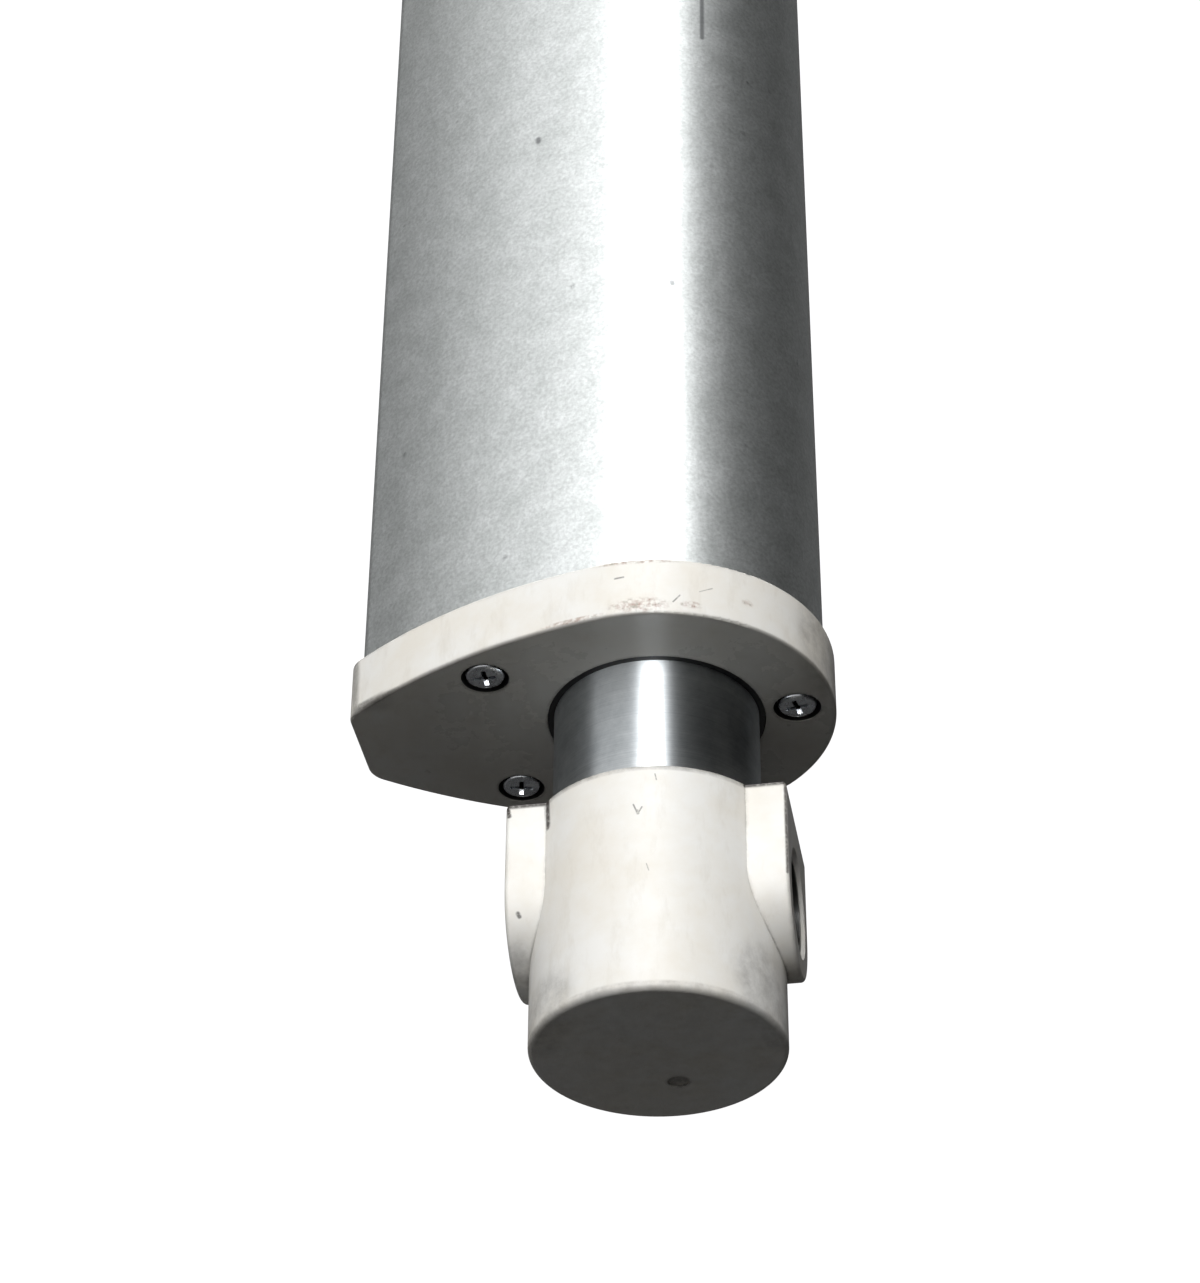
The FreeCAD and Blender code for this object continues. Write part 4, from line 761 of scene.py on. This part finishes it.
def measure_screw(points):
    """Axis place, head top, head seat and tip along Y, and the two radii, in metres."""
    x = (min(p.x for p in points) + max(p.x for p in points)) / 2
    z = (min(p.z for p in points) + max(p.z for p in points)) / 2
    radius = [math.hypot(p.x - x, p.z - z) for p in points]
    ys = [p.y for p in points]
    head_r = max(radius)
    edge = [y for y, r in zip(ys, radius) if r > HEAD_EDGE * head_r]
    middle = (min(ys) + max(ys)) / 2
    head_first = sum(edge) / len(edge) < middle
    top, tip = (min(ys), max(ys)) if head_first else (max(ys), min(ys))
    seat = max(edge) if head_first else min(edge)
    near_tip = abs(seat - tip) * SHANK_SHARE
    shank_r = max(r for y, r in zip(ys, radius) if abs(y - tip) < near_tip)
    return {"x": x, "z": z, "top": top, "seat": seat, "tip": tip,
            "head_r": head_r, "shank_r": shank_r}


screws = {node: [measure_screw(points) for points in solids_of(node)] for node in SCREW_SETS}
for node, found in screws.items():
    print(node, len(found), {k: round(v / MM, 2) for k, v in found[0].items()})

# %% [markdown]
# ## A thread as a skin
# A screw thread can be cut with a screw modifier, but here its outline is laid straight onto a
# helix: each row of the skin starts one step further round the profile, and after a full turn it
# meets the row one pitch ahead. Points that would pass an end are pulled back to it at the core
# radius, so that the thread runs out there. Its tip closes with a flat face, and its root stays
# open until it is joined to the head.

# %% Thread skin
ROUND = 24
SPARE_TURNS = 2
NO_LENGTH = 1e-8
# part of a pitch, and height from 0 at the core to 1 at the crest
SHARP = [(0.0, 0.0), (0.30, 0.0), (0.50, 1.0), (0.70, 0.0)]


def add_thread(shape, core_r, crest_r, pitch, y_from, y_to, profile):
    """Adds a threaded shank along Y to a bmesh, open at its root."""
    turns = range(-SPARE_TURNS, math.ceil((y_to - y_from) / pitch) + SPARE_TURNS)
    rows = [(turn + part, height) for turn in turns for part, height in profile]
    columns = []
    for step in range(ROUND):
        angle = 2 * math.pi * step / ROUND
        column = []
        for phase, height in rows:
            y = y_from + pitch * (phase + step / ROUND)
            inside = y_from < y < y_to
            y = min(max(y, y_from), y_to)
            r = core_r + (crest_r - core_r) * height if inside else core_r
            column.append(shape.verts.new((r * math.cos(angle), y, r * math.sin(angle))))
        columns.append(column)
    pairs = [(columns[i], columns[i + 1]) for i in range(ROUND - 1)]
    pairs.append((columns[-1], columns[0][len(profile):]))
    for left, right in pairs:
        for i in range(min(len(left), len(right)) - 1):
            shape.faces.new((left[i], left[i + 1], right[i + 1], right[i]))
    skin = [corner for column in columns for corner in column]
    bmesh.ops.remove_doubles(shape, verts=skin, dist=NO_LENGTH)
    bmesh.ops.dissolve_degenerate(shape, edges=shape.edges, dist=NO_LENGTH)
    open_edges = [edge for edge in shape.edges if edge.is_boundary]
    tip = [e for e in open_edges if all(v.co.y > y_to - SAME_POINT for v in e.verts)]
    bmesh.ops.edgeloop_fill(shape, edges=tip)


print("thread profile:", len(SHARP), "points per pitch")

# %% [markdown]
# ## From a mesh to a piece
# Every new piece ends the same way. Its faces are turned outwards, it is shaded smooth except at
# its corners, it takes its finish, and it is tied to the body that it moves with. If it stands for
# a plainer CAD node, that node is hidden in its favour.

# %% From a mesh to a piece
SMOOTH_BELOW = math.radians(35)


def piece_from(shape, name, slot, body, *stands_for):
    """Piece made from a bmesh, riding on a body, in place of the CAD nodes that are named."""
    bmesh.ops.recalc_face_normals(shape, faces=shape.faces)
    mesh = bpy.data.meshes.new(name)
    shape.to_mesh(mesh)
    shape.free()
    mesh.shade_smooth()
    mesh.set_sharp_from_angle(angle=SMOOTH_BELOW)
    mesh.materials.append(finishes[slot])
    piece = bpy.data.objects.new(name, mesh)
    studio.objects.link(piece)
    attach(piece, body)
    if stands_for:
        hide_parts(*stands_for)
    return piece


print("pieces stay smooth below", round(math.degrees(SMOOTH_BELOW)), "degrees")

# %% [markdown]
# ## Pan head and its cross
# The screws are pan heads with a cross recess. The head is an outline turned about the screw's
# axis. The cross is a tapered solid of its own, because a cross that narrows as it goes down is
# what makes the real recess look deep.

# %% Pan head and its cross
NECK = 1.2 * MM
HEAD_ROUND = 48
# shares of the head's radius and height
SEAT_EDGE = 0.96
PAN_OUTLINE = [(1.0, 0.06), (1.0, 0.66), (0.985, 0.79), (0.95, 0.88), (0.87, 0.95), (0.70, 0.985),
               (0.35, 1.0)]
RECESS_ARM, RECESS_HALF, RECESS_TAPER = 0.62, 0.13, 0.35
RECESS_ABOVE = 1.1
RECESS_BELOW_SEAT = 0.7 * MM
# largest share of the core that the recess may take where it ends
RECESS_IN_CORE = 0.6


def add_head(shape, radius, height, core):
    """Adds a pan head with a short neck to a bmesh: seat at y 0, top towards -Y."""
    outline = [(0.0, NECK), (core, NECK), (core, 0.0), (SEAT_EDGE * radius, 0.0)]
    outline += [(r * radius, -y * height) for r, y in PAN_OUTLINE]
    outline.append((0.0, -height))
    chain = [shape.verts.new((r, y, 0.0)) for r, y in outline]
    edges = [shape.edges.new(pair) for pair in zip(chain, chain[1:])]
    bmesh.ops.spin(shape, geom=chain + edges, cent=(0, 0, 0), axis=(0, 1, 0), angle=2 * math.pi,
                   steps=HEAD_ROUND, use_merge=True)
    bmesh.ops.remove_doubles(shape, verts=shape.verts, dist=TOUCHING)
    bmesh.ops.recalc_face_normals(shape, faces=shape.faces)


def add_cross(shape, radius, height, core):
    """Adds the tapered cross that the recess is cut with; its foot stays inside the neck."""
    arm, half = RECESS_ARM * radius, RECESS_HALF * radius
    taper = min(RECESS_TAPER, RECESS_IN_CORE * core / arm)
    quarter = [(half, half), (arm, half), (arm, -half)]
    turns = [Matrix.Rotation(-math.pi / 2 * number, 2) for number in range(4)]
    plan = [turn @ Vector(corner) for turn in turns for corner in quarter]
    levels = []
    for y, scale in ((-RECESS_ABOVE * height, 1.0), (RECESS_BELOW_SEAT, taper)):
        levels.append([shape.verts.new((p.x * scale, y, p.y * scale)) for p in plan])
    shape.faces.new(levels[0])
    shape.faces.new(reversed(levels[1]))
    for i in range(len(plan)):
        after = (i + 1) % len(plan)
        shape.faces.new((levels[0][after], levels[0][i], levels[1][i], levels[1][after]))
    bmesh.ops.recalc_face_normals(shape, faces=shape.faces)


print("pan head:", len(PAN_OUTLINE), "points in its outline")

# %% [markdown]
# ## Cutting the recess
# A boolean takes the cross out of the head. It could stay on the piece as a modifier, but here its
# result is kept as a mesh, so that the end of the neck can be opened for the shank.

# %% Cutting the recess


def cut_head(radius, height, core):
    """Mesh of a pan head with its recess cut out, open where the shank joins its neck."""
    made = []
    for name, filler in (("head_blank", add_head), ("recess_cross", add_cross)):
        shape = bmesh.new()
        filler(shape, radius, height, core)
        mesh = bpy.data.meshes.new(name)
        shape.to_mesh(mesh)
        shape.free()
        made.append(bpy.data.objects.new(name, mesh))
        studio.objects.link(made[-1])
    blank, cross = made
    cut = blank.modifiers.new("recess", "BOOLEAN")
    cut.operation = "DIFFERENCE"
    cut.object = cross
    cut.solver = "EXACT"
    graph = bpy.context.evaluated_depsgraph_get()
    mesh = bpy.data.meshes.new_from_object(blank.evaluated_get(graph))
    for scrap in made:
        bpy.data.meshes.remove(scrap.data)
    shape = bmesh.new()
    shape.from_mesh(mesh)
    bmesh.ops.dissolve_degenerate(shape, edges=shape.edges, dist=NO_LENGTH)
    neck_end = [f for f in shape.faces if all(v.co.y > NECK - SAME_POINT for v in f.verts)]
    bmesh.ops.delete(shape, geom=neck_end, context="FACES")
    shape.to_mesh(mesh)
    shape.free()
    return mesh


print("recess: cut to", round(RECESS_BELOW_SEAT / MM, 1), "mm below the seat")

# %% [markdown]
# ## Screws in their places
# One head is made for each set. Each screw gets a shank with a coarse thread-forming profile, which
# is bridged to the neck so that head and shank are one closed skin. Then it is turned a little, as
# no two screws stop alike, and put where the plain one was measured.

# %% Screws in their places
THREAD_START = 1.5 * MM
SHANK_PITCH = 1.3 * MM
SHANK_CORE = 0.74
SCREW_TURN = 0.2
for node, found in screws.items():
    whole = bmesh.new()
    one = found[0]
    core = one["shank_r"] * SHANK_CORE
    head = cut_head(one["head_r"], abs(one["seat"] - one["top"]), core)
    for number, screw in enumerate(found):
        single = bmesh.new()
        length = abs(screw["tip"] - screw["seat"])
        add_thread(single, core, screw["shank_r"], SHANK_PITCH, THREAD_START, length, SHARP)
        single.from_mesh(head)
        bmesh.ops.bridge_loops(single, edges=[e for e in single.edges if e.is_boundary])
        spin = Matrix.Rotation(SCREW_TURN * (number % 3 - 1), 4, "Y")
        flip = Matrix.Rotation(0.0 if screw["tip"] > screw["seat"] else math.pi, 4, "Z")
        shift = Matrix.Translation((screw["x"], screw["seat"], screw["z"]))
        bmesh.ops.transform(single, matrix=shift @ flip @ spin, verts=single.verts)
        mesh = bpy.data.meshes.new("one_screw")
        single.to_mesh(mesh)
        single.free()
        whole.from_mesh(mesh)
        bpy.data.meshes.remove(mesh)
    bpy.data.meshes.remove(head)
    piece = piece_from(whole, node + "_threaded", "zinc_screw", "housing", node)
    print(piece.name, len(piece.data.polygons), "faces")

# %% [markdown]
# ## The wiper's lip
# Where the rod leaves the cap, a black rubber lip fills the cap's hole and wipes the rod clean. In
# a picture it is the black line round the rod. The CAD model holds the seal behind it, and the lip
# is too thin to matter there, so it is made here: a small outline turned about the rod's axis, a
# few hundredths of a millimetre clear of the rod and of the hole.

# %% Wiper lip
LIP_ROUND = 96
# radius and Y
LIP_OUTLINE = [(15.06, -335.32), (15.06, -335.98), (15.50, -336.0), (15.90, -335.93),
               (15.90, -335.78)]
lip = bmesh.new()
chain = [lip.verts.new((r * MM, y * MM, 0.0)) for r, y in LIP_OUTLINE]
edges = [lip.edges.new(pair) for pair in zip(chain, chain[1:] + chain[:1])]
bmesh.ops.spin(lip, geom=chain + edges, cent=(0, 0, 0), axis=(0, 1, 0), angle=2 * math.pi,
               steps=LIP_ROUND, use_merge=True)
piece = piece_from(lip, "wiper_lip", "black_rubber", "housing")
print(piece.name, len(piece.data.polygons), "faces")
